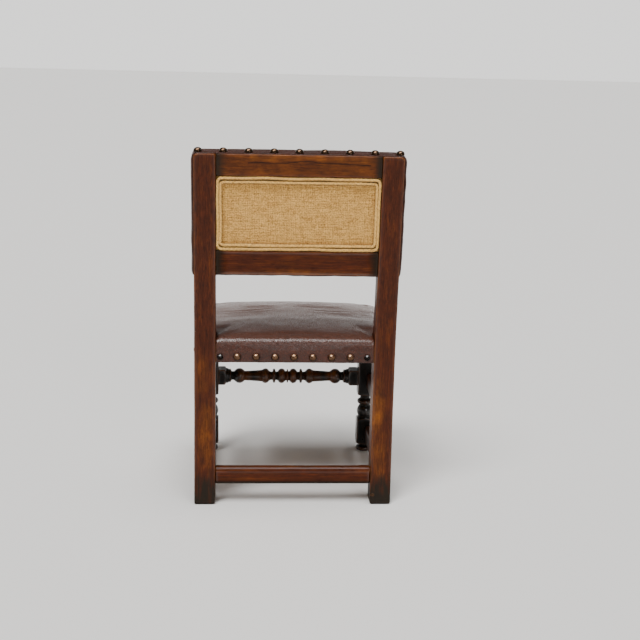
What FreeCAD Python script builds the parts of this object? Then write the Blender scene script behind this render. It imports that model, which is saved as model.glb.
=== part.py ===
import FreeCAD, Part
import math
import os

# Child's back stool of Jacobean pattern: square raked rear posts, turned front legs and
# front stretcher, plain lower stretchers, and a leather seat and back fixed with domed nails.
# Millimetres. +Z is up, the sitter faces -Y, and the sitter's left hand is at +X.
# The origin is on the floor, under the centre of the whole chair.

# Width and depth over the seat rails, and how far each rear post stands out past them
seat_span = 333.0
frame_depth = 293.0
post_overhang = 3.6

# Rear posts: upright between the two knees, splayed at the foot, raked above the seat
post_width = 36.0
post_depth = 38.0
post_depth_upper = 32.0
foot_splay = 7.5
foot_knee_height = 152.6
back_knee_height = 305.5
back_rake = math.radians(5.47)
back_length = 299.9
post_thinning_length = 36.0
knee_radius = 260.0
hollow_radius = 90.0
post_top_radius = 7.0
post_arris_radius = 1.8
post_foot_radius = 2.6

# Rails of the back, measured along the rake from the knee
lower_rail_bottom = 99.9
lower_rail_height = 40.7
crest_rail_height = 35.8
back_rail_recess = 0.8
rail_arris_radius = 1.0

# Front legs: square blocks with turned work between them and a turned foot
leg_stock = 31.0
leg_arris_radius = 0.9
foot_height = 14.5
lower_block_bottom = 23.0
lower_block_top = 61.0
upper_block_bottom = 121.0
lower_shoulder_rise = 6.0
upper_shoulder_drop = 7.0

# Front stretcher: square ends, turned between them about a centre set a little to one side
stretcher_stock = 30.0
front_stretcher_height = 150.0
turning_length = 238.0
turning_offset = 2.3
stretcher_shoulder = 4.5

# Plain stretchers, each set by the height of its top
plain_stretcher_height = 31.0
side_stretcher_thickness = 14.0
side_stretcher_inset = 1.0
upper_stretcher_top = 160.0
lower_stretcher_top = 53.0
rear_stretcher_top = 65.0
rear_stretcher_thickness = 17.0
rear_stretcher_recess = 1.0
stretcher_round = 3.6
stretcher_chamfer = 3.0

# Seat rails under the leather
seat_rail_bottom = 252.5
seat_rail_top = 282.0
seat_rail_thickness = 22.0
rear_rail_recess = 3.0

# Tenons: thickness, shoulder above and below, and length of each kind
tenon_thickness = 9.0
tenon_shoulder = 4.0
back_tenon_length = 20.0
seat_tenon_length = 14.0
rear_seat_tenon_length = 15.0
stretcher_tenon_length = 13.0
mortise_spare = 1.0

# Triangular glue blocks in the seat corners
corner_block_side = 48.0
corner_block_height = 18.0

# Webbing and base cloth
webbing_width = 50.0
webbing_thickness = 1.4
webbing_count = 3
webbing_landing = 12.0
webbing_jog = 4.0
base_cloth_thickness = 1.0
base_cloth_margin = 8.0

# Seat upholstery: padding over the rails at the rear corners, how far the crown stands in
# front of the middle, and the two radii of its curve
leather_thickness = 1.8
seat_corner_padding = 1.9
seat_crown_forward = 10.0
seat_crown_radius_across = 2200.0
seat_crown_radius_along = 1050.0
seat_edge_roll = 8.0
cloth_gap = 0.3

# Back upholstery: padding over the wood and the crown in front
back_leather_thickness = 2.0
back_side_padding = 2.0
back_top_padding = 0.6
back_crown = 15.0
back_crown_radius_across = 1800.0
back_crown_radius_along = 1200.0
back_edge_roll = 7.0
back_leather_rear_margin = 0.8

# Outside back: cloth panel on tacking strips, framed by two piping cords side by side
tacking_strip_width = 14.0
tacking_strip_thickness = 12.0
panel_thickness = 1.0
piping_diameter = 6.0
piping_outer_corner = 6.5
piping_inner_corner = 3.6

# Domed nails
top_nail_diameter = 13.4
top_nail_height = 5.6
top_nail_count = 9
top_nail_end_margin = 7.3
top_nail_setback = 12.0
seat_nail_diameter = 12.0
seat_nail_height = 5.0
seat_nail_rise = 9.5
rear_nail_count = 7
rear_nail_offset = 2.0
end_nail_diameter = 9.4
end_nail_height = 4.0
end_nail_margin = 9.7
end_nail_spacing = 28.7
front_nail_count = 11
side_nail_count = 8
side_nail_margin = 14.0
back_nail_border = 16.0
back_side_nail_count = 7
back_bottom_nail_count = 11

# One overrun for every cut that has to pass right through, the slack of every edge test,
# and the turns of a revolved piece in degrees
overrun = 5.0
tolerance = 0.5
same_point_share = 0.001
full_turn = 360.0
quarter_turn = 90.0

# Turned outlines. Each row is one member: its kind, its share of the run, and the shares of
# half the stock that its middle and its far end reach.
leg_vase_shares = (
    ("line", 0.035, 0.90, 0.90),
    ("cove", 0.045, 0.83, 0.80),
    ("bead", 0.400, 0.98, 0.80),
    ("cove", 0.120, 0.69, 0.70),
    ("bead", 0.210, 0.98, 0.68),
    ("cove", 0.190, 0.61, 0.68),
)
foot_ring_shares = (
    ("bead", 0.600, 0.98, 0.74),
    ("cove", 0.400, 0.60, 0.72),
)
foot_start_share = 0.80
half_stretcher_shares = (
    ("line", 0.016, 0.90, 0.86),
    ("cove", 0.018, 0.60, 0.62),
    ("bead", 0.122, 0.97, 0.60),
    ("cove", 0.046, 0.55, 0.62),
    ("bead", 0.032, 0.94, 0.62),
    ("cove", 0.066, 0.55, 0.70),
    ("bead", 0.112, 0.97, 0.76),
    ("line", 0.286, 0.68, 0.62),
    ("bead", 0.168, 0.98, 0.60),
    ("cove", 0.050, 0.56, 0.62),
    ("bead", 0.038, 0.88, 0.80),
    ("bead", 0.046, 0.97, 0.84),
)
disc_edge_share = 0.90
shoulder_foot_share = 0.80

# Places worked out from the sizes above
half_seat = seat_span / 2
half_post_span = half_seat + post_overhang
post_inner = half_post_span - post_width
leg_inner = half_seat - leg_stock
rake_sine = math.sin(back_rake)
rake_cosine = math.cos(back_rake)
front_reach = frame_depth + leather_thickness + seat_nail_height
rear_reach = back_length * rake_sine
rear_face = (front_reach - rear_reach) / 2
post_front = rear_face - post_depth
leg_front = rear_face - frame_depth
leg_rear = leg_front + leg_stock
leg_axis_x = half_seat - leg_stock / 2
leg_axis_y = leg_front + leg_stock / 2
rear_rail_face = rear_face - rear_rail_recess
rear_rail_front = rear_rail_face - seat_rail_thickness
front_rail_rear = leg_front + seat_rail_thickness
crest_rail_bottom = back_length - crest_rail_height
lower_rail_top = lower_rail_bottom + lower_rail_height
side_rail_inner = half_seat - seat_rail_thickness
seat_depth = rear_rail_face - leg_front
seat_middle = (leg_front + rear_rail_face) / 2
cloth_top = seat_rail_top + 2 * webbing_thickness + base_cloth_thickness
piping_radius = piping_diameter / 2
half_diagonal_share = 1.46
arc_middle_share = math.sqrt(1 / 2)


def vector(x, y, z):
    return FreeCAD.Vector(x, y, z)


def block(x_low, x_high, y_low, y_high, z_low, z_high):
    corner = vector(x_low, y_low, z_low)
    return Part.makeBox(x_high - x_low, y_high - y_low, z_high - z_low, corner)


def mirrored(shape):
    return shape.mirror(vector(0, 0, 0), vector(1, 0, 0))


def arc_drop(radius, distance):
    # How far an arc of this radius has dropped at this distance from its highest point.
    return radius - math.sqrt(radius ** 2 - distance ** 2)


def raked(shape):
    # A shape drawn upright, with y zero on the rear face and z zero at the knee, is laid
    # on the rake of the back.
    turn = FreeCAD.Rotation(vector(1, 0, 0), -math.degrees(back_rake))
    lean = FreeCAD.Placement(vector(0, rear_face, back_knee_height), turn)
    leaning = shape.copy()
    leaning.Placement = lean.multiply(leaning.Placement)
    return leaning


def raked_point(x, y, z):
    depth = rear_face + y * rake_cosine + z * rake_sine
    height = back_knee_height - y * rake_sine + z * rake_cosine
    return vector(x, depth, height)


def rounded_outline(corners):
    # A closed wire through corners given as (point, radius), with a tangent arc at each
    # corner whose radius is not zero.
    count = len(corners)
    edges = []
    stops = []
    for index in range(count):
        point, radius = corners[index]
        before = corners[index - 1][0] - point
        after = corners[(index + 1) % count][0] - point
        before.normalize()
        after.normalize()
        half_opening = before.getAngle(after) / 2
        setback = radius / math.tan(half_opening)
        start = point + before * setback
        end = point + after * setback
        if radius > 0:
            bisector = (before + after).normalize()
            reach = radius / math.sin(half_opening) - radius
            edges.append((index, Part.Arc(start, point + bisector * reach, end).toShape()))
        stops.append((start, end))
    ordered = []
    for index in range(count):
        ordered += [edge for number, edge in edges if number == index]
        leave = stops[index][1]
        arrive = stops[(index + 1) % count][0]
        ordered.append(Part.LineSegment(leave, arrive).toShape())
    return Part.Wire(ordered)


def is_along_x(edge):
    start = edge.Vertexes[0].Point
    end = edge.Vertexes[-1].Point
    return abs(end.x - start.x) > edge.Length / 2


def is_along_y(edge):
    start = edge.Vertexes[0].Point
    end = edge.Vertexes[-1].Point
    return abs(end.y - start.y) > edge.Length / 2


def is_at_height(edge, height):
    return all(abs(vertex.Point.z - height) < tolerance for vertex in edge.Vertexes)


def eased(shape, radius, wanted):
    return shape.makeFillet(radius, [edge for edge in shape.Edges if wanted(edge)])


def turned_edges(rows, start, run, half_stock, first_share):
    # The outline of turned members as edges in the x-z plane: z runs along the axis and
    # x is the radius.
    edges = []
    place = start
    radius = half_stock * first_share
    for kind, run_share, middle_share, end_share in rows:
        far = place + run * run_share
        end_radius = half_stock * end_share
        first = vector(radius, 0, place)
        last = vector(end_radius, 0, far)
        if kind == "line":
            edges.append(Part.LineSegment(first, last).toShape())
        else:
            middle = vector(half_stock * middle_share, 0, (place + far) / 2)
            edges.append(Part.Arc(first, middle, last).toShape())
        place = far
        radius = end_radius
    return edges


def shoulder_edge(block_end, narrow_end, half_stock, foot_radius):
    # The rounded shoulder between a square block and the turned work beside it.
    wide = half_stock * half_diagonal_share
    middle_radius = foot_radius + (wide - foot_radius) * arc_middle_share
    middle_place = narrow_end + (block_end - narrow_end) * (1 - arc_middle_share)
    middle = vector(middle_radius, 0, middle_place)
    return Part.Arc(vector(foot_radius, 0, narrow_end), middle, vector(wide, 0, block_end)).toShape()


def joined_outline(edges):
    # Edges in order along the axis, with a straight step wherever two ends differ, closed
    # along the axis of turning.
    steps = []
    previous = None
    for edge in edges:
        points = [vertex.Point for vertex in edge.Vertexes]
        points.sort(key=lambda point: point.z)
        if previous is not None and not previous.isEqual(points[0], tolerance * same_point_share):
            steps.append(Part.LineSegment(previous, points[0]).toShape())
        steps.append(edge)
        previous = points[-1]
        if len(steps) == 1:
            first = points[0]
    top = vector(0, 0, previous.z)
    bottom = vector(0, 0, first.z)
    steps.append(Part.LineSegment(previous, top).toShape())
    steps.append(Part.LineSegment(top, bottom).toShape())
    steps.append(Part.LineSegment(bottom, first).toShape())
    return Part.Wire(steps)


def turned(edges):
    face = Part.Face(joined_outline(edges))
    return face.revolve(vector(0, 0, 0), vector(0, 0, 1), full_turn)


# Tenons and their mortises
def tenon_along_x(x_low, x_high, y_middle, z_low, z_high):
    half = tenon_thickness / 2
    low = z_low + tenon_shoulder
    return block(x_low, x_high, y_middle - half, y_middle + half, low, z_high - tenon_shoulder)


def tenon_along_y(y_low, y_high, x_middle, z_low, z_high):
    half = tenon_thickness / 2
    low = z_low + tenon_shoulder
    return block(x_middle - half, x_middle + half, y_low, y_high, low, z_high - tenon_shoulder)


crest_rail_rows = (crest_rail_bottom, back_length)
lower_rail_rows = (lower_rail_bottom, lower_rail_top)
back_rail_middle = -(back_rail_recess + post_depth_upper) / 2
rear_seat_rail_middle = rear_rail_face - seat_rail_thickness / 2
rear_stretcher_face = rear_face - rear_stretcher_recess
rear_stretcher_middle = rear_stretcher_face - rear_stretcher_thickness / 2
side_stretcher_outer = half_seat - side_stretcher_inset
side_stretcher_middle = side_stretcher_outer - side_stretcher_thickness / 2
side_rail_middle = half_seat - seat_rail_thickness / 2
stretcher_tops = {"upper": upper_stretcher_top, "lower": lower_stretcher_top}


def back_rail_tenon(rows, spare):
    x_high = post_inner + back_tenon_length + spare
    return tenon_along_x(0, x_high, back_rail_middle, rows[0], rows[1])


def rear_seat_tenon(spare):
    x_high = post_inner + rear_seat_tenon_length + spare
    return tenon_along_x(0, x_high, rear_seat_rail_middle, seat_rail_bottom, seat_rail_top)


def rear_stretcher_tenon(spare):
    low = rear_stretcher_top - plain_stretcher_height
    x_high = post_inner + stretcher_tenon_length + spare
    return tenon_along_x(0, x_high, rear_stretcher_middle, low, rear_stretcher_top)


def front_seat_tenon(spare):
    middle = leg_front + seat_rail_thickness / 2
    return tenon_along_x(0, leg_inner + seat_tenon_length + spare, middle, seat_rail_bottom, seat_rail_top)


def front_stretcher_tenon(spare):
    half = stretcher_stock / 2
    low = front_stretcher_height - half
    high = front_stretcher_height + half
    return tenon_along_x(0, leg_inner + stretcher_tenon_length + spare, leg_axis_y, low, high)


def side_rail_tenon(spare):
    y_low = leg_rear - seat_tenon_length - spare
    y_high = post_front + seat_tenon_length + spare
    return tenon_along_y(y_low, y_high, side_rail_middle, seat_rail_bottom, seat_rail_top)


def side_stretcher_tenon(top, spare):
    y_low = leg_rear - stretcher_tenon_length - spare
    y_high = post_shift(top) + post_front + stretcher_tenon_length + spare
    return tenon_along_y(y_low, y_high, side_stretcher_middle, top - plain_stretcher_height, top)


def post_shift(height):
    # How far the splay of the foot has carried the post back at this height.
    return max(0, foot_splay * (1 - height / foot_knee_height))


# Rear posts
def whole_rear_post():
    rear_top = raked_point(0, 0, back_length)
    front_top = raked_point(0, -post_depth_upper, back_length)
    front_thin = raked_point(0, -post_depth_upper, post_thinning_length)
    corners = (
        (vector(0, rear_face + foot_splay, 0), 0),
        (vector(0, rear_face, foot_knee_height), knee_radius),
        (vector(0, rear_face, back_knee_height), knee_radius),
        (rear_top, 0),
        (front_top, 0),
        (front_thin, hollow_radius),
        (vector(0, post_front, back_knee_height), hollow_radius),
        (vector(0, post_front, foot_knee_height), knee_radius),
        (vector(0, post_front + foot_splay, 0), 0),
    )
    outline = rounded_outline(corners)
    outline.translate(vector(post_inner, 0, 0))
    post = Part.Face(outline).extrude(vector(post_width, 0, 0))

    def is_top_outer(edge):
        outermost = all(vertex.Point.x > half_post_span - tolerance for vertex in edge.Vertexes)
        return outermost and all(vertex.Point.z > rear_top.z - tolerance for vertex in edge.Vertexes)

    def is_long_arris(edge):
        return not is_along_x(edge) and not is_at_height(edge, 0)

    post = eased(post, post_top_radius, is_top_outer)
    post = eased(post, post_arris_radius, is_long_arris)
    return eased(post, post_foot_radius, lambda edge: is_at_height(edge, 0))


def rear_post():
    cuts = [
        raked(back_rail_tenon(crest_rail_rows, mortise_spare)),
        raked(back_rail_tenon(lower_rail_rows, mortise_spare)),
        rear_seat_tenon(mortise_spare),
        rear_stretcher_tenon(mortise_spare),
        side_rail_tenon(mortise_spare),
    ]
    cuts += [side_stretcher_tenon(top, mortise_spare) for top in stretcher_tops.values()]
    return whole_rear_post().cut(cuts)


# Rails between the posts
def both_ways(shape):
    return shape.fuse(mirrored(shape))


def back_rail(rows):
    rail = block(-post_inner, post_inner, -post_depth_upper, -back_rail_recess, rows[0], rows[1])
    rail = eased(rail, rail_arris_radius, is_along_x)
    return raked(rail.fuse(both_ways(back_rail_tenon(rows, 0))))


def rear_stretcher():
    low = rear_stretcher_top - plain_stretcher_height
    front = rear_stretcher_face - rear_stretcher_thickness
    bar = block(-post_inner, post_inner, front, rear_stretcher_face, low, rear_stretcher_top)
    bar = softened_bar(bar, low, rear_stretcher_top, is_along_x)
    return bar.fuse(both_ways(rear_stretcher_tenon(0)))


def softened_bar(bar, low, high, is_long):
    # Plain stretchers have round upper arrises and chamfered lower ones.
    def is_upper(edge):
        return is_long(edge) and is_at_height(edge, high)

    def is_lower(edge):
        return is_long(edge) and is_at_height(edge, low)

    bar = eased(bar, stretcher_round, is_upper)
    return bar.makeChamfer(stretcher_chamfer, [edge for edge in bar.Edges if is_lower(edge)])


def side_stretcher(top):
    low = top - plain_stretcher_height
    inner = side_stretcher_outer - side_stretcher_thickness
    bar = block(inner, side_stretcher_outer, leg_rear, rear_face, low, top)
    bar = softened_bar(bar, low, top, is_along_y)
    return bar.cut(whole_rear_post()).fuse(side_stretcher_tenon(top, 0))


# Front legs and stretcher
def leg_turning():
    half = leg_stock / 2
    wide = half * half_diagonal_share
    shoulder_foot = half * shoulder_foot_share
    vase_bottom = lower_block_top + lower_shoulder_rise
    vase_top = upper_block_bottom - upper_shoulder_drop
    edges = turned_edges(foot_ring_shares, 0, foot_height, half, foot_start_share)
    edges.append(shoulder_edge(lower_block_bottom, foot_height, half, shoulder_foot))
    edges.append(straight_side(wide, lower_block_bottom, lower_block_top))
    edges.append(shoulder_edge(lower_block_top, vase_bottom, half, shoulder_foot))
    edges += turned_edges(leg_vase_shares, vase_bottom, vase_top - vase_bottom, half, shoulder_foot_share)
    edges.append(shoulder_edge(upper_block_bottom, vase_top, half, shoulder_foot))
    edges.append(straight_side(wide, upper_block_bottom, seat_rail_top + overrun))
    return turned(edges)


def straight_side(radius, low, high):
    return Part.LineSegment(vector(radius, 0, low), vector(radius, 0, high)).toShape()


def front_leg():
    half = leg_stock / 2
    bar = block(-half, half, -half, half, 0, seat_rail_top)
    bar = eased(bar, leg_arris_radius, lambda edge: edge.Length > seat_rail_top - overrun)
    leg = bar.common(leg_turning())
    leg.translate(vector(leg_axis_x, leg_axis_y, 0))
    cuts = [
        front_seat_tenon(mortise_spare),
        front_stretcher_tenon(mortise_spare),
        side_rail_tenon(mortise_spare),
    ]
    cuts += [side_stretcher_tenon(top, mortise_spare) for top in stretcher_tops.values()]
    return leg.cut(cuts)


def stretcher_half():
    half = stretcher_stock / 2
    wide = half * half_diagonal_share
    run = turning_length / 2
    foot = half * shoulder_foot_share
    edges = turned_edges(half_stretcher_shares, 0, run, half, disc_edge_share)
    edges.append(shoulder_edge(run + stretcher_shoulder, run, half, foot))
    edges.append(straight_side(wide, run + stretcher_shoulder, leg_inner + overrun))
    return turned(edges)


def front_stretcher():
    half = stretcher_stock / 2
    turning = stretcher_half()
    turning.rotate(vector(0, 0, 0), vector(0, 1, 0), quarter_turn)
    turning = turning.fuse(mirrored(turning)).removeSplitter()
    turning.translate(vector(turning_offset, 0, 0))
    bar = block(-leg_inner, leg_inner, -half, half, -half, half)
    bar = eased(bar, leg_arris_radius, is_along_x)
    stretcher = bar.common(turning)
    stretcher.translate(vector(0, leg_axis_y, front_stretcher_height))
    tenons = both_ways(front_stretcher_tenon(0))
    bare_middle = turning_length / 2 + stretcher_shoulder
    middle = block(-bare_middle, bare_middle, leg_front - overrun, leg_rear + overrun, 0, seat_rail_top)
    return stretcher.fuse(tenons.cut(middle))


# Seat frame
def seat_rail_front():
    rear = leg_front + seat_rail_thickness
    rail = block(-leg_inner, leg_inner, leg_front, rear, seat_rail_bottom, seat_rail_top)
    return rail.fuse(both_ways(front_seat_tenon(0)))


def seat_rail_rear():
    rail = block(-post_inner, post_inner, rear_rail_front, rear_rail_face, seat_rail_bottom, seat_rail_top)
    return rail.fuse(both_ways(rear_seat_tenon(0)))


def seat_rail_side():
    rail = block(side_rail_inner, half_seat, leg_rear, post_front, seat_rail_bottom, seat_rail_top)
    return rail.fuse(side_rail_tenon(0))


def corner_block(rail_face, towards, upright):
    # A glue block across one corner, cut round the leg or post that stands in it.
    low = (seat_rail_bottom + seat_rail_top - corner_block_height) / 2
    corners = (
        vector(side_rail_inner, rail_face, low),
        vector(side_rail_inner - corner_block_side, rail_face, low),
        vector(side_rail_inner, rail_face + towards * corner_block_side, low),
    )
    outline = rounded_outline([(corner, 0) for corner in corners])
    return Part.Face(outline).extrude(vector(0, 0, corner_block_height)).cut(upright)


def seat_corner_blocks():
    leg = block(leg_inner, half_seat, leg_front, leg_rear, 0, seat_rail_top)
    post = block(post_inner, half_post_span, post_front, rear_face, 0, seat_rail_top)
    front = corner_block(front_rail_rear, 1, leg)
    rear = corner_block(rear_rail_front, -1, post)
    return Part.makeCompound([front, mirrored(front), rear, mirrored(rear)])


# Seat upholstery
def evenly(first, last, count):
    return [first + (last - first) * index / (count - 1) for index in range(count)]


def strip_middles(low, high):
    # The strips of webbing have equal spaces beside and between them.
    space = (high - low - webbing_count * webbing_width) / (webbing_count + 1)
    margin = space + webbing_width / 2
    return evenly(low + margin, high - margin, webbing_count)


def seat_webbing():
    half = webbing_width / 2
    top = seat_rail_top + webbing_thickness
    reach = half_seat - webbing_landing
    strips = []
    for middle in strip_middles(front_rail_rear, rear_rail_front):
        strips.append(block(-reach, reach, middle - half, middle + half, seat_rail_top, top))
    for middle in strip_middles(-side_rail_inner, side_rail_inner):
        strips.append(long_webbing(middle - half))
    return Part.makeCompound(strips)


def long_webbing(side):
    # A strip from front to rear, which steps up from the rails onto the strips that it crosses.
    low = seat_rail_top
    outer_front = leg_front + webbing_landing
    outer_rear = rear_rail_face - webbing_landing
    steps = (
        (outer_front, low),
        (front_rail_rear, low),
        (front_rail_rear + webbing_jog, low + webbing_thickness),
        (rear_rail_front - webbing_jog, low + webbing_thickness),
        (rear_rail_front, low),
        (outer_rear, low),
    )
    under = [vector(side, place, height) for place, height in steps]
    over = [vector(side, place, height + webbing_thickness) for place, height in reversed(steps)]
    outline = rounded_outline([(corner, 0) for corner in under + over])
    return Part.Face(outline).extrude(vector(webbing_width, 0, 0))


def post_notches(gap):
    # The corners that the rear posts take out of the seat.
    notch = block(
        post_inner - gap,
        half_post_span + overrun,
        post_front - gap,
        rear_face + overrun,
        seat_rail_bottom - overrun,
        stuffing_height + leather_thickness + overrun,
    )
    return [notch, mirrored(notch)]


def seat_base_cloth():
    cloth = base_cloth_space(cloth_top - base_cloth_thickness)
    return cloth.cut(post_notches(cloth_gap))


def base_cloth_space(low):
    # From this height up to the top of the base cloth, and as wide and deep as the cloth.
    reach = half_seat - base_cloth_margin
    front = leg_front + base_cloth_margin
    rear = rear_rail_face - base_cloth_margin
    return block(-reach, reach, front, rear, low, cloth_top)


def crown(peak, radius_across, radius_along, half_width, half_run):
    # A solid whose top is arched across and along, with its highest point at (0, 0, peak).
    axis_height = peak - radius_along
    side_height = peak - arc_drop(radius_across, half_width)
    side = vector(half_width, 0, side_height)
    arch = Part.Arc(vector(-half_width, 0, side_height), vector(0, 0, peak), side).toShape()
    foot = vector(half_width, 0, axis_height)
    outline = [
        arch,
        Part.LineSegment(side, foot).toShape(),
        Part.LineSegment(foot, vector(-half_width, 0, axis_height)).toShape(),
        Part.LineSegment(vector(-half_width, 0, axis_height), vector(-half_width, 0, side_height)).toShape(),
    ]
    half_sweep = math.degrees(math.asin(half_run / radius_along))
    axis = vector(0, 0, axis_height)
    face = Part.Face(Part.Wire(outline))
    face.rotate(axis, vector(1, 0, 0), -half_sweep)
    return face.revolve(axis, vector(1, 0, 0), 2 * half_sweep)


drop_across = arc_drop(seat_crown_radius_across, half_seat)
drop_along = arc_drop(seat_crown_radius_along, seat_depth / 2 + seat_crown_forward)
stuffing_height = seat_rail_top + seat_corner_padding + drop_across + drop_along


def seat_form(grow, low):
    # The upholstered seat, grown outwards by a thickness of leather.
    reach = half_seat + grow
    front = leg_front - grow
    rear = rear_rail_face + grow
    peak = stuffing_height + grow
    form = block(-reach, reach, front, rear, low, peak + overrun)
    corner_radius = leg_arris_radius + grow
    plan = rounded_outline((
        (vector(-reach, front, low), corner_radius),
        (vector(reach, front, low), corner_radius),
        (vector(reach, rear, low), 0),
        (vector(-reach, rear, low), 0),
    ))
    arch = crown(
        peak,
        seat_crown_radius_across + grow,
        seat_crown_radius_along + grow,
        half_seat + overrun,
        seat_depth,
    )
    arch.translate(vector(0, seat_middle - seat_crown_forward, 0))
    form = form.common(arch)
    top_face = max(form.Faces, key=lambda face: face.CenterOfMass.z)
    form = form.makeFillet(seat_edge_roll + grow, top_face.Edges)
    return form.common(Part.Face(plan).extrude(vector(0, 0, peak - low + overrun)))


def seat_stuffing():
    form = seat_form(0, seat_rail_bottom)
    below = block(-half_post_span, half_post_span, leg_front - overrun, rear_face, 0, seat_rail_top)
    recess = base_cloth_space(seat_rail_top - overrun)
    return form.cut([below, recess] + post_notches(cloth_gap))


def seat_leather():
    outside = seat_form(leather_thickness, seat_rail_bottom)
    inside = seat_form(0, seat_rail_bottom - overrun)
    return outside.cut([inside] + post_notches(cloth_gap))


# Back upholstery, drawn upright and then raked
back_cloth_low = lower_rail_bottom + webbing_landing - base_cloth_margin / 2
back_cloth_high = back_length - webbing_landing + base_cloth_margin / 2
back_cloth_reach = post_inner + webbing_landing
back_cloth_face = -post_depth_upper - webbing_thickness - base_cloth_thickness
back_middle = (lower_rail_bottom + back_length) / 2


def back_webbing():
    half = webbing_width / 2
    low = lower_rail_bottom + webbing_landing
    high = back_length - webbing_landing
    front = -post_depth_upper - webbing_thickness
    strips = []
    for middle in strip_middles(-post_inner, post_inner):
        strips.append(block(middle - half, middle + half, front, -post_depth_upper, low, high))
    return raked(Part.makeCompound(strips))


def back_base_cloth():
    rear = back_cloth_face + base_cloth_thickness
    cloth = block(
        -back_cloth_reach, back_cloth_reach, back_cloth_face, rear, back_cloth_low, back_cloth_high
    )
    return raked(cloth)


def back_form(grow):
    # The upholstered front, top and outer sides of the back, grown outwards by the leather.
    reach = half_post_span + back_side_padding + grow
    low = lower_rail_bottom - grow
    high = back_length + back_top_padding + grow
    peak = post_depth_upper + back_crown + grow
    form = block(-reach, reach, -peak - overrun, -back_leather_rear_margin, low, high)

    def is_top_corner(edge):
        return is_along_y(edge) and is_at_height(edge, high)

    form = eased(form, post_top_radius + back_side_padding + grow, is_top_corner)
    arch = crown(
        peak,
        back_crown_radius_across + grow,
        back_crown_radius_along + grow,
        reach + overrun,
        back_length - lower_rail_bottom,
    )
    arch.rotate(vector(0, 0, 0), vector(1, 0, 0), 90)
    arch.translate(vector(0, 0, back_middle))
    form = form.common(arch)
    front_face = min(form.Faces, key=lambda face: face.CenterOfMass.y)
    return raked(form.makeFillet(back_edge_roll + grow, front_face.Edges))


def back_woodwork():
    # The posts, and the whole depth of wood and opening between them.
    post = whole_rear_post()
    reach = post_inner + post_arris_radius
    between = block(-reach, reach, -post_depth_upper, 0, lower_rail_bottom, back_length)
    return [post, mirrored(post), raked(between)]


def back_stuffing():
    recess = block(
        -back_cloth_reach, back_cloth_reach, back_cloth_face, 0, back_cloth_low, back_cloth_high
    )
    return back_form(0).cut(back_woodwork() + [raked(recess)])


def back_leather():
    return back_form(back_leather_thickness).cut(back_woodwork() + [back_form(0)])


# Outside back
panel_rear = -piping_diameter - cloth_gap
strip_rear = panel_rear - panel_thickness


def back_tacking_strips():
    front = strip_rear - tacking_strip_thickness
    low = lower_rail_top
    high = crest_rail_bottom
    inner = post_inner - tacking_strip_width
    upright = block(inner, post_inner, front, strip_rear, low, high)
    lower = block(-inner, inner, front, strip_rear, low, low + tacking_strip_width)
    upper = block(-inner, inner, front, strip_rear, high - tacking_strip_width, high)
    return raked(Part.makeCompound([upright, mirrored(upright), lower, upper]))


def back_cloth_panel():
    reach = post_inner - cloth_gap
    low = lower_rail_top + cloth_gap
    high = crest_rail_bottom - cloth_gap
    return raked(block(-reach, reach, strip_rear, panel_rear, low, high))


def piping_loop(inset, corner_radius):
    # A closed cord laid in the opening, its centre line this far inside the wood.
    reach = post_inner - inset
    low = lower_rail_top + inset
    high = crest_rail_bottom - inset
    straight_x = reach - corner_radius
    straight_low = low + corner_radius
    straight_high = high - corner_radius
    pieces = []
    for height in (low, high):
        start = vector(-straight_x, -piping_radius, height)
        pieces.append(Part.makeCylinder(piping_radius, 2 * straight_x, start, vector(1, 0, 0)))
    upright = straight_high - straight_low
    for side in (-reach, reach):
        start = vector(side, -piping_radius, straight_low)
        pieces.append(Part.makeCylinder(piping_radius, upright, start, vector(0, 0, 1)))
    corners = (
        (straight_x, straight_high),
        (-straight_x, straight_high),
        (-straight_x, straight_low),
        (straight_x, straight_low),
    )
    for quarter, (x, z) in enumerate(corners):
        bend = piping_corner(vector(x, -piping_radius, z), corner_radius)
        bend.rotate(vector(x, -piping_radius, z), vector(0, -1, 0), quarter * quarter_turn)
        pieces.append(bend)
    return pieces[0].fuse(pieces[1:]).removeSplitter()


def piping_corner(centre, corner_radius):
    # A quarter bend of the cord about this centre.
    section = Part.makeCircle(piping_radius, centre + vector(corner_radius, 0, 0), vector(0, 0, 1))
    return Part.Face(Part.Wire(section)).revolve(centre, vector(0, -1, 0), quarter_turn)


def back_piping_outer():
    return raked(piping_loop(piping_radius + cloth_gap, piping_outer_corner))


def back_piping_inner():
    inset = piping_diameter + piping_radius + 2 * cloth_gap
    return raked(piping_loop(inset, piping_inner_corner))


# Nails
def dome(diameter, height):
    # The domed head of a nail, flat side down on the origin.
    radius = diameter / 2
    ball = (radius ** 2 + height ** 2) / (2 * height)
    half_angle = math.asin(radius / ball) / 2
    middle = vector(ball * math.sin(half_angle), 0, height - ball + ball * math.cos(half_angle))
    rim = vector(radius, 0, 0)
    top = vector(0, 0, height)
    outline = [
        Part.Arc(rim, middle, top).toShape(),
        Part.LineSegment(top, vector(0, 0, 0)).toShape(),
        Part.LineSegment(vector(0, 0, 0), rim).toShape(),
    ]
    return Part.Face(Part.Wire(outline)).revolve(vector(0, 0, 0), vector(0, 0, 1), full_turn)


def nail_row(head, places, outward):
    nails = []
    for place in places:
        nail = head.copy()
        nail.Placement = FreeCAD.Placement(place, FreeCAD.Rotation(vector(0, 0, 1), outward))
        nails.append(nail)
    return nails


def seat_nail():
    return dome(seat_nail_diameter, seat_nail_height)


nail_level = seat_rail_bottom + seat_nail_rise
leather_rear = rear_rail_face + leather_thickness
leather_front = leg_front - leather_thickness
leather_side = half_seat + leather_thickness


def seat_nails_rear():
    last = post_inner - end_nail_margin - end_nail_spacing
    return rear_nails(seat_nail(), evenly(-last, last, rear_nail_count))


def seat_nails_rear_ends():
    last = post_inner - end_nail_margin
    return rear_nails(dome(end_nail_diameter, end_nail_height), (-last, last))


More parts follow.
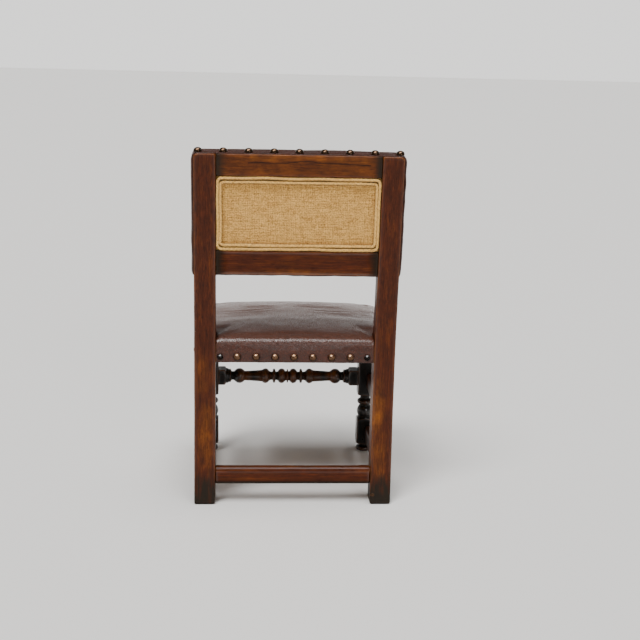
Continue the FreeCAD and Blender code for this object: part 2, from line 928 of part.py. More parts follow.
def rear_nails(head, stations):
    # The whole row on the rear skirt stands a little towards the sitter's left.
    places = [vector(x + rear_nail_offset, leather_rear, nail_level) for x in stations]
    return Part.makeCompound(nail_row(head, places, vector(0, 1, 0)))


def seat_nails_front():
    stations = evenly(-leg_axis_x, leg_axis_x, front_nail_count)
    places = [vector(x, leather_front, nail_level) for x in stations]
    return Part.makeCompound(nail_row(seat_nail(), places, vector(0, -1, 0)))


def seat_nails_side():
    stations = evenly(leg_axis_y, post_front - side_nail_margin, side_nail_count)
    places = [vector(leather_side, y, nail_level) for y in stations]
    return Part.makeCompound(nail_row(seat_nail(), places, vector(1, 0, 0)))


def back_nails_top():
    last = half_post_span - top_nail_end_margin
    height = back_length + back_top_padding + back_leather_thickness
    upward = raked_point(0, 0, height) - raked_point(0, 0, 0)
    stations = evenly(-last, last, top_nail_count)
    places = [raked_point(x, -top_nail_setback, height) for x in stations]
    return Part.makeCompound(nail_row(dome(top_nail_diameter, top_nail_height), places, upward))


def on_back_leather(x, z):
    # The point of the crowned leather at this place, and the direction that faces out of it.
    grow = back_leather_thickness
    across = math.sqrt((back_crown_radius_across + grow) ** 2 - x ** 2)
    ring = back_crown_radius_along - back_crown_radius_across + across
    rise = z - back_middle
    from_axis = math.sqrt(ring ** 2 - rise ** 2)
    depth = post_depth_upper + back_crown - back_crown_radius_along + from_axis
    outward = raked_point(x / across, -from_axis / ring, rise / ring) - raked_point(0, 0, 0)
    return raked_point(x, -depth, z), outward


def back_nails_front():
    side = half_post_span + back_side_padding + back_leather_thickness - back_nail_border
    low = lower_rail_bottom - back_leather_thickness + back_nail_border
    high = back_length + back_top_padding + back_leather_thickness - back_nail_border
    spots = [(x, low) for x in evenly(-side, side, back_bottom_nail_count)]
    for z in evenly(low, high, back_side_nail_count)[1:]:
        spots += [(-side, z), (side, z)]
    nails = []
    for x, z in spots:
        place, outward = on_back_leather(x, z)
        nails += nail_row(seat_nail(), [place], outward)
    return Part.makeCompound(nails)


single_pieces = {
    "crest_rail": lambda: back_rail(crest_rail_rows),
    "lower_back_rail": lambda: back_rail(lower_rail_rows),
    "front_stretcher": front_stretcher,
    "rear_stretcher": rear_stretcher,
    "seat_rail_front": seat_rail_front,
    "seat_rail_rear": seat_rail_rear,
    "seat_corner_blocks": seat_corner_blocks,
    "seat_webbing": seat_webbing,
    "seat_base_cloth": seat_base_cloth,
    "seat_stuffing": seat_stuffing,
    "seat_leather": seat_leather,
    "seat_nails_rear": seat_nails_rear,
    "seat_nails_rear_ends": seat_nails_rear_ends,
    "seat_nails_front": seat_nails_front,
    "back_webbing": back_webbing,
    "back_base_cloth": back_base_cloth,
    "back_stuffing": back_stuffing,
    "back_leather": back_leather,
    "back_tacking_strips": back_tacking_strips,
    "back_cloth_panel": back_cloth_panel,
    "back_piping_outer": back_piping_outer,
    "back_piping_inner": back_piping_inner,
    "back_nails_top": back_nails_top,
    "back_nails_front": back_nails_front,
}

# Pieces that come in pairs, modelled on the sitter's left and mirrored to the right
paired_pieces = {
    "rear_post": rear_post,
    "front_leg": front_leg,
    "side_stretcher_upper": lambda: side_stretcher(upper_stretcher_top),
    "side_stretcher_lower": lambda: side_stretcher(lower_stretcher_top),
    "seat_rail": seat_rail_side,
    "seat_nails": seat_nails_side,
}

os.makedirs("parts", exist_ok=True)
for name, make in single_pieces.items():
    make().exportStep("parts/" + name + ".step")
for name, make in paired_pieces.items():
    piece = make()
    piece.exportStep("parts/" + name + "_left.step")
    mirrored(piece).exportStep("parts/" + name + "_right.step")
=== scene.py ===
import math
import random

import bmesh
import bpy
import numpy as np
from mathutils import Matrix, Quaternion, Vector, noise


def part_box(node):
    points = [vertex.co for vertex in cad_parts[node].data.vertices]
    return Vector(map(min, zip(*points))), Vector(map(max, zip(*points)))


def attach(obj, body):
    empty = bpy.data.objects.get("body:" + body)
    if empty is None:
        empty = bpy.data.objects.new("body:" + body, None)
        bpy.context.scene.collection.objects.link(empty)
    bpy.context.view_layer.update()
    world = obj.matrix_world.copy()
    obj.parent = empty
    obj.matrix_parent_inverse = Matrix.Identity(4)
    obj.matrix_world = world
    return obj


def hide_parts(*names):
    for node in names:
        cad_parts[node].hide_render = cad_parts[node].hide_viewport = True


# A child's back stool: worn oak posts and rails, ebonised turned work, a leather seat and back
# fixed with domed nails, and a hessian outside back framed by a double welt.
# Metres. +Z is up, the sitter faces -Y, and the sitter's left hand is at +X.

bl_info = {
    "name": "Child's back stool",
    "version": (1, 0, 0),
    "blender": (4, 5, 0),
    "location": "View3D > Sidebar > Back stool",
    "description": "Dresses the frame of a child's back stool in oak, leather, hessian and nails",
    "category": "Object",
}

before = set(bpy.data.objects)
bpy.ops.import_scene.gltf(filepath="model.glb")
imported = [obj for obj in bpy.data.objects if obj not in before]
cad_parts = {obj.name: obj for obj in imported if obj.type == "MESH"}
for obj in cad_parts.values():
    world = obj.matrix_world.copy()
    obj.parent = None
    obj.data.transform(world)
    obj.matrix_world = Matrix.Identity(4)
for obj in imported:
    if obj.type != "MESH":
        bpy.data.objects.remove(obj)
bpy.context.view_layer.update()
scene = bpy.context.scene

MM = 0.001
MERGE = 0.01 * MM
# Factors on places before a noise: the first keeps only x, the second draws it out along z
ACROSS_ONLY = [1, 0, 0]
UPRIGHT_STREAKS = [1, 1, 0.12]


def linear(hex_colour):
    # An sRGB hex colour as linear red, green, blue and alpha.
    channels = [int(hex_colour[place:place + 2], 16) / 255 for place in (1, 3, 5)]
    light = [c / 12.92 if c <= 0.04045 else ((c + 0.055) / 1.055) ** 2.4 for c in channels]
    return (*light, 1.0)


def length(name, description, millimetres):
    return bpy.props.FloatProperty(
        name=name, description=description, default=millimetres * MM, min=0.0,
        subtype="DISTANCE", unit="LENGTH", precision=4,
    )


def colour(name, description, hex_colour):
    return bpy.props.FloatVectorProperty(
        name=name, description=description, default=linear(hex_colour), min=0.0, max=1.0,
        subtype="COLOR", size=4,
    )


class StoolSizes(bpy.types.PropertyGroup):
    wood_cell: length("Wood cell", "Spacing of the points on the worn wood", 1.6)
    turned_cell: length("Turned cell", "Spacing of the points on the turned work", 0.85)
    wear_reach: length("Wear reach", "How far an arris stands out before it counts as worn", 0.9)
    wood_wobble: length("Wood wobble", "How far hand-worn wood strays from a true face", 0.17)
    turned_wobble: length("Turned wobble", "How far turned work strays from a true round", 0.1)
    dent_depth: length("Dent depth", "Depth of the knocks along the arrises", 0.8)
    fibre_width: length("Fibre width", "Width of one band of wood fibre", 1.6)
    pore_length: length("Pore length", "Length of one open pore of the oak", 14.0)
    figure_width: length("Figure width", "Spacing of the growth bands of the oak", 6.5)
    leather_cell: length("Leather cell", "Spacing of the points on the leather before the last cut", 4.0)
    leather_thickness: length("Leather", "Thickness of the seat's leather", 1.8)
    leather_lap: length("Leather, doubled", "Thickness of the back's leather with its turned hem", 3.4)
    leather_grain: length("Leather grain", "Width of one pebble of the leather", 3.0)
    leather_swell: length("Leather swell", "How far the stuffing may push the leather out", 2.5)
    nail_dimple: length("Nail dimple", "How deep each nail pulls the leather in", 0.8)
    thread_spacing: length("Thread spacing", "Spacing of the hessian's threads", 2.9)
    hessian_thickness: length("Hessian", "Thickness of the hessian", 0.8)
    hessian_belly: length("Hessian belly", "How far the outside back hangs out in its middle", 1.4)
    nail_overhang: length("Nail overhang", "How far a nail head outgrows its seat", 0.45)
    floor_reach: length("Floor", "Half the width of the floor", 40000.0)


class StoolColours(bpy.types.PropertyGroup):
    oak_dark: colour("Oak, dark", "Stained oak where the polish is thick", "#1c0903")
    oak_mid: colour("Oak, middle", "Stained oak on open faces", "#481e0a")
    oak_warm: colour("Oak, warm", "Stained oak where the polish is thin", "#5c2c0c")
    oak_worn: colour("Oak, worn", "Oak showing through along the arrises", "#8e5014")
    oak_patina: colour("Patina", "Old stain and smoke next to the joints", "#1c1911")
    ebonised: colour("Ebonised oak", "Black stain on the turned work", "#0c0905")
    ebonised_worn: colour("Ebonised oak, worn", "Brown showing on the turned beads", "#5e3414")
    bare: colour("Bare wood", "Unfinished wood inside the seat", "#7a5836")
    leather: colour("Leather", "Oxblood leather", "#4e2110")
    leather_rubbed: colour("Leather, rubbed", "Leather where it is rubbed", "#6e3e29")
    hessian: colour("Hessian", "Jute thread", "#c68e42")
    hessian_light: colour("Hessian, light", "Raised jute thread in the light", "#fac86e")
    hessian_dark: colour("Hessian, dark", "Gaps and slubs of the hessian", "#6c4818")
    brass: colour("Old brass", "Antiqued brass nail head", "#8a6850")
    # Painted highlight colour on the upper parts of the nail heads, with rubbed brass
    brass_rubbed_and_highlit: colour("Old brass, rubbed", "Bare brass on the crown of a nail head", "#d8ac88")
    # On the nails this dark is partly tarnish and partly painted shade on their lower parts
    brass_dark: colour("Old brass, dark", "Tarnish on the nail heads", "#24160e")
    lining: colour("Lining", "Old linen under the stuffing", "#4f4030")
    black_iron: colour("Black iron", "Small black nail heads", "#15110f")
    floor: colour("Floor", "Pale studio floor", "#f1efec")
    world: colour("Room", "Pale light of the room", "#e9e8e6")


def sizes():
    return scene.stool_sizes


def colours():
    return scene.stool_colours


# Node helper
def add(tree, kind, inputs=(), out=0, ramp=(), **settings):
    # Adds a node with its settings, gives its inputs values or links, and returns one output.
    node = tree.nodes.new("ShaderNode" + kind)
    for name, value in settings.items():
        setattr(node, name, value)
    for key, value in dict(inputs).items():
        if isinstance(value, bpy.types.NodeSocket):
            tree.links.new(value, node.inputs[key])
        else:
            node.inputs[key].default_value = value
    for index, (place, stop) in enumerate(ramp):
        elements = node.color_ramp.elements
        element = elements[index] if index < 2 else elements.new(place)
        element.position = place
        element.color = stop
    return node.outputs[out] if len(node.outputs) else node


def layered(tree, base, *layers):
    # Lays tints over a colour, each as far as its mask says.
    factor, under, over, result = 0, 6, 7, 2
    for tint, mask, blend in layers:
        base = add(tree, "Mix", {under: base, over: tint, factor: mask}, out=result,
                   data_type="RGBA", blend_type=blend)
    return base


def new_material(name):
    material = bpy.data.materials.new(name)
    material.use_nodes = True
    material.node_tree.nodes.clear()
    return material, material.node_tree


def finish_material(tree, inputs):
    shader = add(tree, "BsdfPrincipled", inputs)
    add(tree, "OutputMaterial", {"Surface": shader})


def grey(level):
    return (level, level, level, 1.0)


def shaded(tint, level):
    return (*(part * level for part in tint[:3]), 1.0)


# Materials
def oak_material(name, tints, gloss, coat, shine=0.16, wear_shows=0.2):
    # Waxed oak, sawn and planed by hand: long streaks and open pores in a red-brown stain,
    # orange where the polish has worn through, black where wax and smoke have settled. The
    # stain attribute darkens towards the patina: real grime on some pieces, painted shade on others.
    material, tree = new_material(name)
    look = sizes()
    ground, warm, worn = tints
    dark, patina = colours().oak_dark, colours().oak_patina
    place = add(tree, "Attribute", out="Vector", attribute_name="grain_place")
    wear, rub, stain, shake = (add(tree, "Attribute", out="Fac", attribute_name=painted)
                               for painted in ("wear", "rub", "stain", "crack"))
    # Width across the grain, length along it, detail and roughness of each pattern
    patterns = (
        (look.fibre_width, look.fibre_width * 22, 4.0, 0.6),
        (look.fibre_width * 0.8, look.pore_length, 2.0, 0.5),
        (look.figure_width, look.figure_width * 12, 5.0, 0.65),
        (14 * MM, 24 * MM, 5.0, 0.7),
        (4 * MM, 26 * MM, 3.0, 0.7),
        (4 * MM, 9 * MM, 5.0, 0.75),
    )
    drawn = []
    for across, along, detail, rough in patterns:
        spread = add(tree, "Mapping", {"Vector": place, "Scale": (1 / across, 1 / across, 1 / along)})
        drawn.append(add(tree, "TexNoise", {
            "Vector": spread, "Scale": 1.0, "Detail": detail, "Roughness": rough}))
    fibre, pores, figure, blotch, flecks, scuffs = drawn
    bands = add(tree, "ValToRGB", {"Fac": figure}, ramp=(
        (0.30, shaded(ground, 0.8)), (0.72, warm), (0.52, ground)))
    depth_of_stain = add(tree, "ValToRGB", {"Fac": blotch}, ramp=((0.34, grey(0.78)), (0.68, grey(1.2))))
    fibre_tone = add(tree, "ValToRGB", {"Fac": fibre}, ramp=((0.30, grey(0.5)), (0.70, grey(1.45))))
    broken = add(tree, "Math", {0: wear, 1: flecks}, operation="MULTIPLY")
    thin = add(tree, "Math", {0: rub, 1: scuffs}, operation="MULTIPLY")
    # What each mask follows, between which values, and how far it goes from and to
    followed = (
        (pores, 0.57, 0.68, 0.0, 0.5), (broken, wear_shows, wear_shows + 0.3, 0.0, 0.4),
        (thin, 0.08, 0.75, 0.0, 0.9), (wear, -0.05, -0.6, 0.0, 0.85), (shake, 0.76, 0.92, 0.0, 0.9),
        (blotch, 0.3, 0.7, gloss - 0.06, gloss + 0.14), (wear, 0.05, 0.4, coat * 0.2, min(coat * 3, 1.0)),
    )
    pore, ridge, thinned, hollow, crack, roughness, polish = (add(tree, "MapRange", {
        "Value": value, "From Min": low, "From Max": high, "To Min": least, "To Max": most,
    }) for value, low, high, least, most in followed)
    hollow, polish = (add(tree, "Math", {0: mask, 1: less}, operation="SUBTRACT", use_clamp=True)
                      for mask, less in ((hollow, rub), (polish, stain)))
    # The stain mask is grime on the feet and patina beside the joints, and painted shade under the rear
    # stretcher and over the side stretchers
    base = layered(
        tree, bands, (worn, thinned, "MIX"), (depth_of_stain, 1.0, "MULTIPLY"),
        (fibre_tone, 0.75, "MULTIPLY"), (dark, pore, "MIX"), (worn, ridge, "MIX"),
        (patina, stain, "MIX"), (patina, hollow, "MIX"), (dark, crack, "MIX"),
    )
    height = fibre
    for groove in (pore, crack):
        height = add(tree, "Math", {0: height, 1: groove}, operation="SUBTRACT")
    bump = add(tree, "Bump", {"Height": height, "Strength": 0.4, "Distance": 0.25 * MM})
    finish_material(tree, {
        "Base Color": base, "Roughness": roughness, "Normal": bump, "IOR": 1.5,
        "Specular IOR Level": shine, "Coat Weight": polish, "Coat Roughness": 0.2,
    })
    return material


def bare_wood_material():
    # Unfinished beech: pale, dry and matt, with a straight grain and the marks of the saw.
    material, tree = new_material("bare_beech")
    ground = colours().bare
    place = add(tree, "TexCoord", out="Object")
    stretched = add(tree, "Mapping", {"Vector": place, "Scale": (30.0, 600.0, 600.0)})
    fine = add(tree, "TexNoise", {"Vector": stretched, "Scale": 1.0, "Detail": 4.0})
    tone = add(tree, "ValToRGB", {"Fac": fine}, ramp=((0.3, shaded(ground, 0.55)), (0.7, ground)))
    bump = add(tree, "Bump", {"Height": fine, "Strength": 0.4, "Distance": 0.3 * MM})
    finish_material(tree, {"Base Color": tone, "Roughness": 0.75, "Normal": bump})
    return material


def leather_material():
    # Vegetable-tanned hide, dyed oxblood and waxed: a pebbled grain with fine cracks, darker in
    # the folds, rubbed paler on the ridges, and a soft shine that turns grey against the light.
    material, tree = new_material("oxblood_leather")
    look, palette = sizes(), colours()
    hide, pale, dark = palette.leather, palette.leather_rubbed, palette.brass_dark
    place = add(tree, "TexCoord", out="Object")
    wear, gathered, faded = (add(tree, "Attribute", out="Fac", attribute_name=painted)
                             for painted in ("wear", "pucker", "fade"))
    pebble = add(tree, "TexVoronoi", {
        "Vector": place, "Scale": 1 / look.leather_grain, "Randomness": 1.0}, feature="DISTANCE_TO_EDGE")
    patch, grain = (add(tree, "TexNoise", {
        "Vector": place, "Scale": 1 / width, "Detail": 5.0, "Roughness": 0.65,
    }) for width in (38 * MM, 3.6 * MM))
    narrow = add(tree, "Mapping", {
        "Vector": place, "Scale": (1 / (2.1 * MM), 1 / (14 * MM), 1 / (14 * MM))})
    puckers = add(tree, "TexNoise", {"Vector": narrow, "Scale": 1.0, "Detail": 2.0})
    puckers = add(tree, "Math", {0: puckers, 1: gathered}, operation="MULTIPLY")
    rub = add(tree, "Math", {0: wear, 1: grain}, operation="MULTIPLY")
    handled = add(tree, "Math", {0: faded, 1: gathered}, operation="ADD")
    # What each mask follows, between which values, and how far it goes from and to
    followed = (
        (rub, 0.10, 0.5, 0.0, 0.55), (wear, -0.12, -0.9, 0.0, 0.5), (pebble, 0.0, 0.3, 0.0, 1.0),
        (pebble, 0.0, 0.21, 0.6, 0.0), (handled, 0.0, 0.75, 0.18, 1.0), (grain, 0.3, 0.7, 0.28, 0.46),
    )
    rubbed, fold, crack, furrow, polish, gloss = (add(tree, "MapRange", {
        "Value": value, "From Min": low, "From Max": high, "To Min": least, "To Max": most,
    }) for value, low, high, least, most in followed)
    tone = add(tree, "ValToRGB", {"Fac": patch}, ramp=(
        (0.30, shaded(hide, 0.6)), (0.72, shaded(hide, 1.15))))
    mottle = add(tree, "ValToRGB", {"Fac": grain}, ramp=((0.32, grey(0.6)), (0.66, grey(1.3))))
    tone = layered(
        tree, tone, (pale, faded, "MIX"), (mottle, 0.7, "MULTIPLY"), (pale, rubbed, "MIX"),
        (dark, furrow, "MIX"), (dark, fold, "MIX"),
    )
    height = add(tree, "Math", {0: crack, 1: grain}, operation="ADD")
    height = add(tree, "Math", {0: puckers, 1: 1.6, 2: height}, operation="MULTIPLY_ADD")
    # Wax fills the grain, so the coat over it is smoother than the hide
    bump, filled = (add(tree, "Bump", {"Height": height, "Strength": strength, "Distance": 0.6 * MM})
                    for strength in (0.8, 0.2))
    finish_material(tree, {
        "Base Color": tone, "Roughness": gloss, "Normal": bump, "IOR": 1.5,
        "Specular IOR Level": 0.3, "Coat Weight": polish, "Coat IOR": 1.56,
        "Coat Roughness": 0.24, "Coat Normal": filled,
    })
    return material


def hessian_material(name, turn=0.0, lift=0.0):
    # Jute hessian, plain woven from uneven yarn: golden threads over and under each other,
    # with slubs, raised threads painted lighter as highlight and the gaps painted darker as shade,
    # and no shine. The threads are drawn coarser than they are, to show from a step away.
    material, tree = new_material(name)
    palette = colours()
    place = add(tree, "Attribute", out="Vector", attribute_name="cloth_place")
    wander = add(tree, "TexNoise", {"Vector": place, "Scale": 1 / (16 * MM), "Detail": 3.0}, out="Color")
    stray = add(tree, "VectorMath", {0: wander, "Scale": 2.6 * MM}, operation="SCALE")
    place = add(tree, "VectorMath", {0: place, 1: stray}, operation="ADD")
    place = add(tree, "Mapping", {"Vector": place, "Rotation": (0.0, 0.0, turn)})
    rounds = []
    waves = []
    for axis in "XY":
        along = add(tree, "SeparateXYZ", {"Vector": place}, out=axis)
        side = add(tree, "Math", {0: along, 1: math.pi / sizes().thread_spacing}, operation="MULTIPLY")
        wave = add(tree, "Math", {0: side}, operation="SINE")
        rounds.append(add(tree, "Math", {0: wave}, operation="ABSOLUTE"))
        waves.append(add(tree, "Math", {0: side}, operation="COSINE"))
    crossing = add(tree, "Math", {0: waves[0], 1: waves[1]}, operation="MULTIPLY")
    over = add(tree, "Math", {0: crossing, 1: 0.0}, operation="GREATER_THAN")
    height = add(tree, "Mix", {"A": rounds[0], "B": rounds[1], "Factor": over}, data_type="FLOAT")
    height = add(tree, "Math", {0: height, 1: 0.55}, operation="MULTIPLY")
    yarn, thread = 26 * MM, 2.6 * MM
    # Fineness of each unevenness along x, y and z, and how much it adds
    unevenness = (
        ((1 / yarn, 1 / thread, 1.0), 1.5), ((1 / thread, 1 / yarn, 1.0), 0.9),
        ((1 / (1.8 * MM),) * 3, 3.0), ((1 / (22 * MM),) * 3, 0.4),
    )
    for fineness, amount in unevenness:
        stretched = add(tree, "Mapping", {"Vector": place, "Scale": fineness})
        slub = add(tree, "TexNoise", {
            "Vector": stretched, "Scale": 1.0, "Detail": 3.0, "Roughness": 0.65})
        slub = add(tree, "Math", {0: slub, 1: amount}, operation="MULTIPLY")
        height = add(tree, "Math", {0: height, 1: slub}, operation="ADD")
    # The colour follows the height of the weave: a painted highlight on the raised threads and painted
    # shade in the low gaps, with slubs and uneven yarn as real tone
    light = add(tree, "MapRange", {
        # lift moves the whole tone lighter: a painted highlight, used for the welt cords
        "Value": height, "From Min": 2.48 - lift, "From Max": 3.84 - lift})
    tone = add(tree, "ValToRGB", {"Fac": light}, ramp=(
        (0.0, palette.hessian_dark), (1.0, palette.hessian_light), (0.42, palette.hessian)))
    # The stain attribute darkens towards the dark hessian: painted shade under the top cord and in and
    # under the welts, and dust in soft patches
    dirt_and_shade = add(tree, "Attribute", out="Fac", attribute_name="stain")
    tone = layered(tree, tone, (palette.hessian_dark, dirt_and_shade, "MIX"))
    bump = add(tree, "Bump", {"Height": height, "Strength": 0.9, "Distance": 0.5 * MM})
    finish_material(tree, {
        "Base Color": tone, "Roughness": 0.88, "Normal": bump,
        "Sheen Weight": 0.12, "Sheen Roughness": 0.5,
    })
    return material


def nail_material(name, bright, body, dark, roughness):
    # Stamped brass with a brown antique lacquer and blotchy tarnish in the tool marks. The wear
    # attribute paints light on it: a painted highlight where the dome faces up and painted shade
    # where it faces down. Blackened iron is painted in the same way.
    material, tree = new_material(name)
    place = add(tree, "TexCoord", out="Object")
    wear = add(tree, "Attribute", out="Fac", attribute_name="wear")
    tarnish = add(tree, "TexNoise", {
        "Vector": place, "Scale": 1 / (2.6 * MM), "Detail": 4.0, "Roughness": 0.65})
    # Wear holds painted light here: up-facing points go towards the bright colour as a painted highlight,
    # down-facing ones towards the dark as painted shade
    level = add(tree, "Math", {0: tarnish, 1: wear}, operation="ADD")
    level = add(tree, "MapRange", {"Value": level, "From Min": 0.35, "From Max": 1.6})
    tone = add(tree, "ValToRGB", {"Fac": level}, ramp=((0.0, dark), (1.0, bright), (0.6, body)))
    bump = add(tree, "Bump", {"Height": tarnish, "Strength": 0.35, "Distance": 0.3 * MM})
    finish_material(tree, {
        "Base Color": tone, "Metallic": 1.0, "Roughness": roughness, "Normal": bump})
    return material


def webbing_material(name, ground, rib_width):
    # Coarse jute and linen, twill woven: dull bands with a rib, grey with dust.
    material, tree = new_material(name)
    place = add(tree, "TexCoord", out="Object")
    rib = add(tree, "TexWave", {
        "Vector": place, "Scale": 1 / rib_width, "Distortion": 1.5, "Detail": 2.0,
    }, out="Fac", bands_direction="DIAGONAL")
    tone = add(tree, "ValToRGB", {"Fac": rib}, ramp=((0.2, shaded(ground, 0.5)), (0.8, ground)))
    bump = add(tree, "Bump", {"Height": rib, "Strength": 0.6, "Distance": 0.4 * MM})
    finish_material(tree, {"Base Color": tone, "Roughness": 0.9, "Normal": bump})
    return material


# Meshes
def new_object(name, data):
    piece = bpy.data.objects.new(name, data)
    scene.collection.objects.link(piece)
    return piece


def bmesh_object(name, work):
    mesh = bpy.data.meshes.new(name)
    work.to_mesh(mesh)
    work.free()
    return new_object(name, mesh)


def shown_mesh(piece):
    # A new mesh with the shape that the piece shows.
    bpy.context.view_layer.update()
    graph = bpy.context.evaluated_depsgraph_get()
    return bpy.data.meshes.new_from_object(piece.evaluated_get(graph))


def modified(piece, kind, **settings):
    # Adds one modifier with its settings, and makes its result the piece's own mesh.
    modifier = piece.modifiers.new(kind.title(), kind)
    for name, value in settings.items():
        setattr(modifier, name, value)
    mesh = shown_mesh(piece)
    piece.modifiers.clear()
    old = piece.data
    piece.data = mesh
    bpy.data.meshes.remove(old)
    mesh.name = piece.name
    return piece


def read(items, field, width=3, kind=np.float32):
    flat = np.zeros(len(items) * width, kind)
    items.foreach_get(field, flat)
    return flat.reshape(-1, width)


def places_of(mesh):
    return read(mesh.vertices, "co").astype(float)


def normals_of(mesh):
    return read(mesh.vertices, "normal").astype(float)


def set_places(mesh, places):
    mesh.vertices.foreach_set("co", places.astype(np.float32).ravel())
    mesh.update()


def smoothed(mesh, places, rounds, step=0.5):
    # Moves each point part of the way to the middle of its neighbours, a few times.
    edges = read(mesh.edges, "vertices", 2, np.int32)
    count = len(places)
    both = np.concatenate([edges[:, 0], edges[:, 1]])
    other = np.concatenate([edges[:, 1], edges[:, 0]])
    degree = np.maximum(np.bincount(both, minlength=count), 1)
    result = places.copy()
    for _ in range(rounds):
        mean = np.stack([
            np.bincount(both, result[other, axis], minlength=count) for axis in range(3)
        ], axis=1) / degree[:, None]
        result += step * (mean - result)
    return result


def evened(piece, cell, rounds):
    # Lays an even mesh over the piece, smooths it, and returns its points.
    mesh = modified(piece, "REMESH", mode="VOXEL", voxel_size=cell).data
    places = smoothed(mesh, places_of(mesh), rounds)
    set_places(mesh, places)
    return places


def set_attribute(mesh, name, values):
    kind = "FLOAT" if values.ndim == 1 else "FLOAT_VECTOR"
    field = "value" if values.ndim == 1 else "vector"
    attribute = mesh.attributes.get(name) or mesh.attributes.new(name, kind, "POINT")
    attribute.data.foreach_set(field, values.astype(np.float32).ravel())


def step_between(values, low, high):
    # Rises smoothly from 0 at low to 1 at high.
    risen = np.clip((values - low) / (high - low), 0.0, 1.0)
    return risen * risen * (3 - 2 * risen)


def ridge_at(distance, width):
    return np.exp(-(distance / width) ** 2)


def arc_drop(radius, distance):
    # How far an arc of this radius falls at a distance from its top.
    return radius - np.sqrt(radius ** 2 - distance ** 2)


def noise_along(places, spacing, seed):
    offset = Vector((seed * 3.1, seed * 1.7, seed * 2.3))
    return np.array([noise.noise(Vector(p) / spacing + offset) for p in places])


def set_wear(piece, reach, rounds, inside=1.0):
    # How far each point stands out from its surroundings, and how far it lies in. Cut edges,
    # where inside is 0, count as a shallow hollow.
    mesh = piece.data
    places = places_of(mesh)
    cut_edge = -0.35
    stands_out = ((places - smoothed(mesh, places, rounds)) * normals_of(mesh)).sum(axis=1)
    wear = np.clip(stands_out / reach, -1.0, 1.0)
    set_attribute(mesh, "wear", wear * inside + cut_edge * (1 - inside))


def kept(piece, material, slot_name, *replaced):
    # Gives a finished piece its material, its body and the nodes that it stands for.
    piece.data.shade_smooth()
    piece.data.materials.clear()
    piece.data.materials.append(material)
    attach(piece, "root")
    if replaced:
        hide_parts(*replaced)
    return piece


# The lean of the back, from the flat panel in it
def lean_of_back():
    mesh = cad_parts["back_cloth_panel"].data
    largest = max(mesh.polygons, key=lambda face: (face.normal.y > 0) * face.area)
    outward = largest.normal.normalized()
    across = Vector((1, 0, 0))
    upward = across.cross(outward).normalized()
    low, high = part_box("back_cloth_panel")
    turn = Matrix((across, outward, upward)).transposed().to_4x4()
    return Matrix.Translation((low + high) / 2) @ turn


LEAN = lean_of_back()
TO_LEAN = LEAN.inverted()


def carried(places, matrix=TO_LEAN):
    # Places in the leaning frame of the back, or out of it again with LEAN.
    return places @ np.array(matrix.to_3x3()).T + np.array(matrix.translation)


def lean_box(node):
    places = carried(places_of(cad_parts[node].data))
    return Vector(places.min(axis=0)), Vector(places.max(axis=0))


# Wood
def worn_copy(node, cell, seed, wobble):
    # The CAD piece's own shape on an even mesh, with arrises rounded by use.
    work = bmesh.new()
    work.from_mesh(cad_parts[node].data)
    bmesh.ops.remove_doubles(work, verts=work.verts, dist=MERGE)
    piece = bmesh_object("worn_" + node, work)
    places = evened(piece, cell, 3)
    long_wave, short_wave, short_share = 38 * MM, 9 * MM, 0.35
    stray = noise_along(places, long_wave, seed) + short_share * noise_along(places, short_wave, seed + 5)
    set_places(piece.data, places + normals_of(piece.data) * (stray * wobble)[:, None])
    return piece


def dented(piece, seed, count):
    # Knocks: small hollows at points picked from those that stand out.
    mesh = piece.data
    places, normals = places_of(mesh), normals_of(mesh)
    wear = read(mesh.attributes["wear"].data, "value", 1)[:, 0]
    arris, radii, depths = 0.4, (1.8, 4.0), (0.3, 1.0)
    spots = np.flatnonzero(wear > arris)
    pick = random.Random(seed)
    for _ in range(count):
        centre = places[spots[pick.randrange(len(spots))]]
        radius = pick.uniform(*radii) * MM
        depth = pick.uniform(*depths) * sizes().dent_depth
        away = np.linalg.norm(places - centre, axis=1)
        places -= normals * (depth * step_between(-away, -radius, 0.0))[:, None]
    set_places(mesh, places)


def eased(piece, node, radii):
    # Rounds the long arrises of a bar along x: rear top, front top, rear bottom, front bottom.
    low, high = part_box(node)
    places = places_of(piece.data)
    ways = ((1, 1), (-1, 1), (1, -1), (-1, -1))
    for (side, rise), radius in zip(ways, radii):
        corner = np.array([high.y if side > 0 else low.y, high.z if rise > 0 else low.z])
        facing = np.array([side, rise])
        offset = (places[:, 1:] - corner) * facing + radius
        reach = np.linalg.norm(offset, axis=1)
        beyond = (offset > 0).all(axis=1) & (reach > radius)
        pulled = offset[beyond] * (radius / reach[beyond])[:, None]
        places[beyond, 1:] = corner + (pulled - radius) * facing
    set_places(piece.data, places)


def wood_piece(node, grain, seed, material, dents=6, raked=False, turned=False, radii=()):
    # One wooden piece: grain is the axis along its grain, 0 for x, 1 for y, 2 for z.
    look = sizes()
    cell, wobble, rounds, slot_name = look.wood_cell, look.wood_wobble, 12, "stained_wood"
    if turned:
        cell, wobble, rounds, slot_name = look.turned_cell, look.turned_wobble, 50, "dark_turned_wood"
    piece = worn_copy(node, cell, seed, wobble)
    eased(piece, node, radii)
    set_wear(piece, look.wear_reach, rounds)
    dented(piece, seed, dents)
    places = places_of(piece.data)
    if raked:
        places = carried(places)
    across, depth = (axis for axis in range(3) if axis != grain)
    # Each piece is cut from its own place in the tree
    offset = np.array([seed * 0.113, seed * 0.071, seed * 0.29])
    set_attribute(piece.data, "grain_place", places[:, [across, depth, grain]] + offset)
    set_attribute(piece.data, "stain", np.zeros(len(places)))
    return kept(piece, material, slot_name, node)


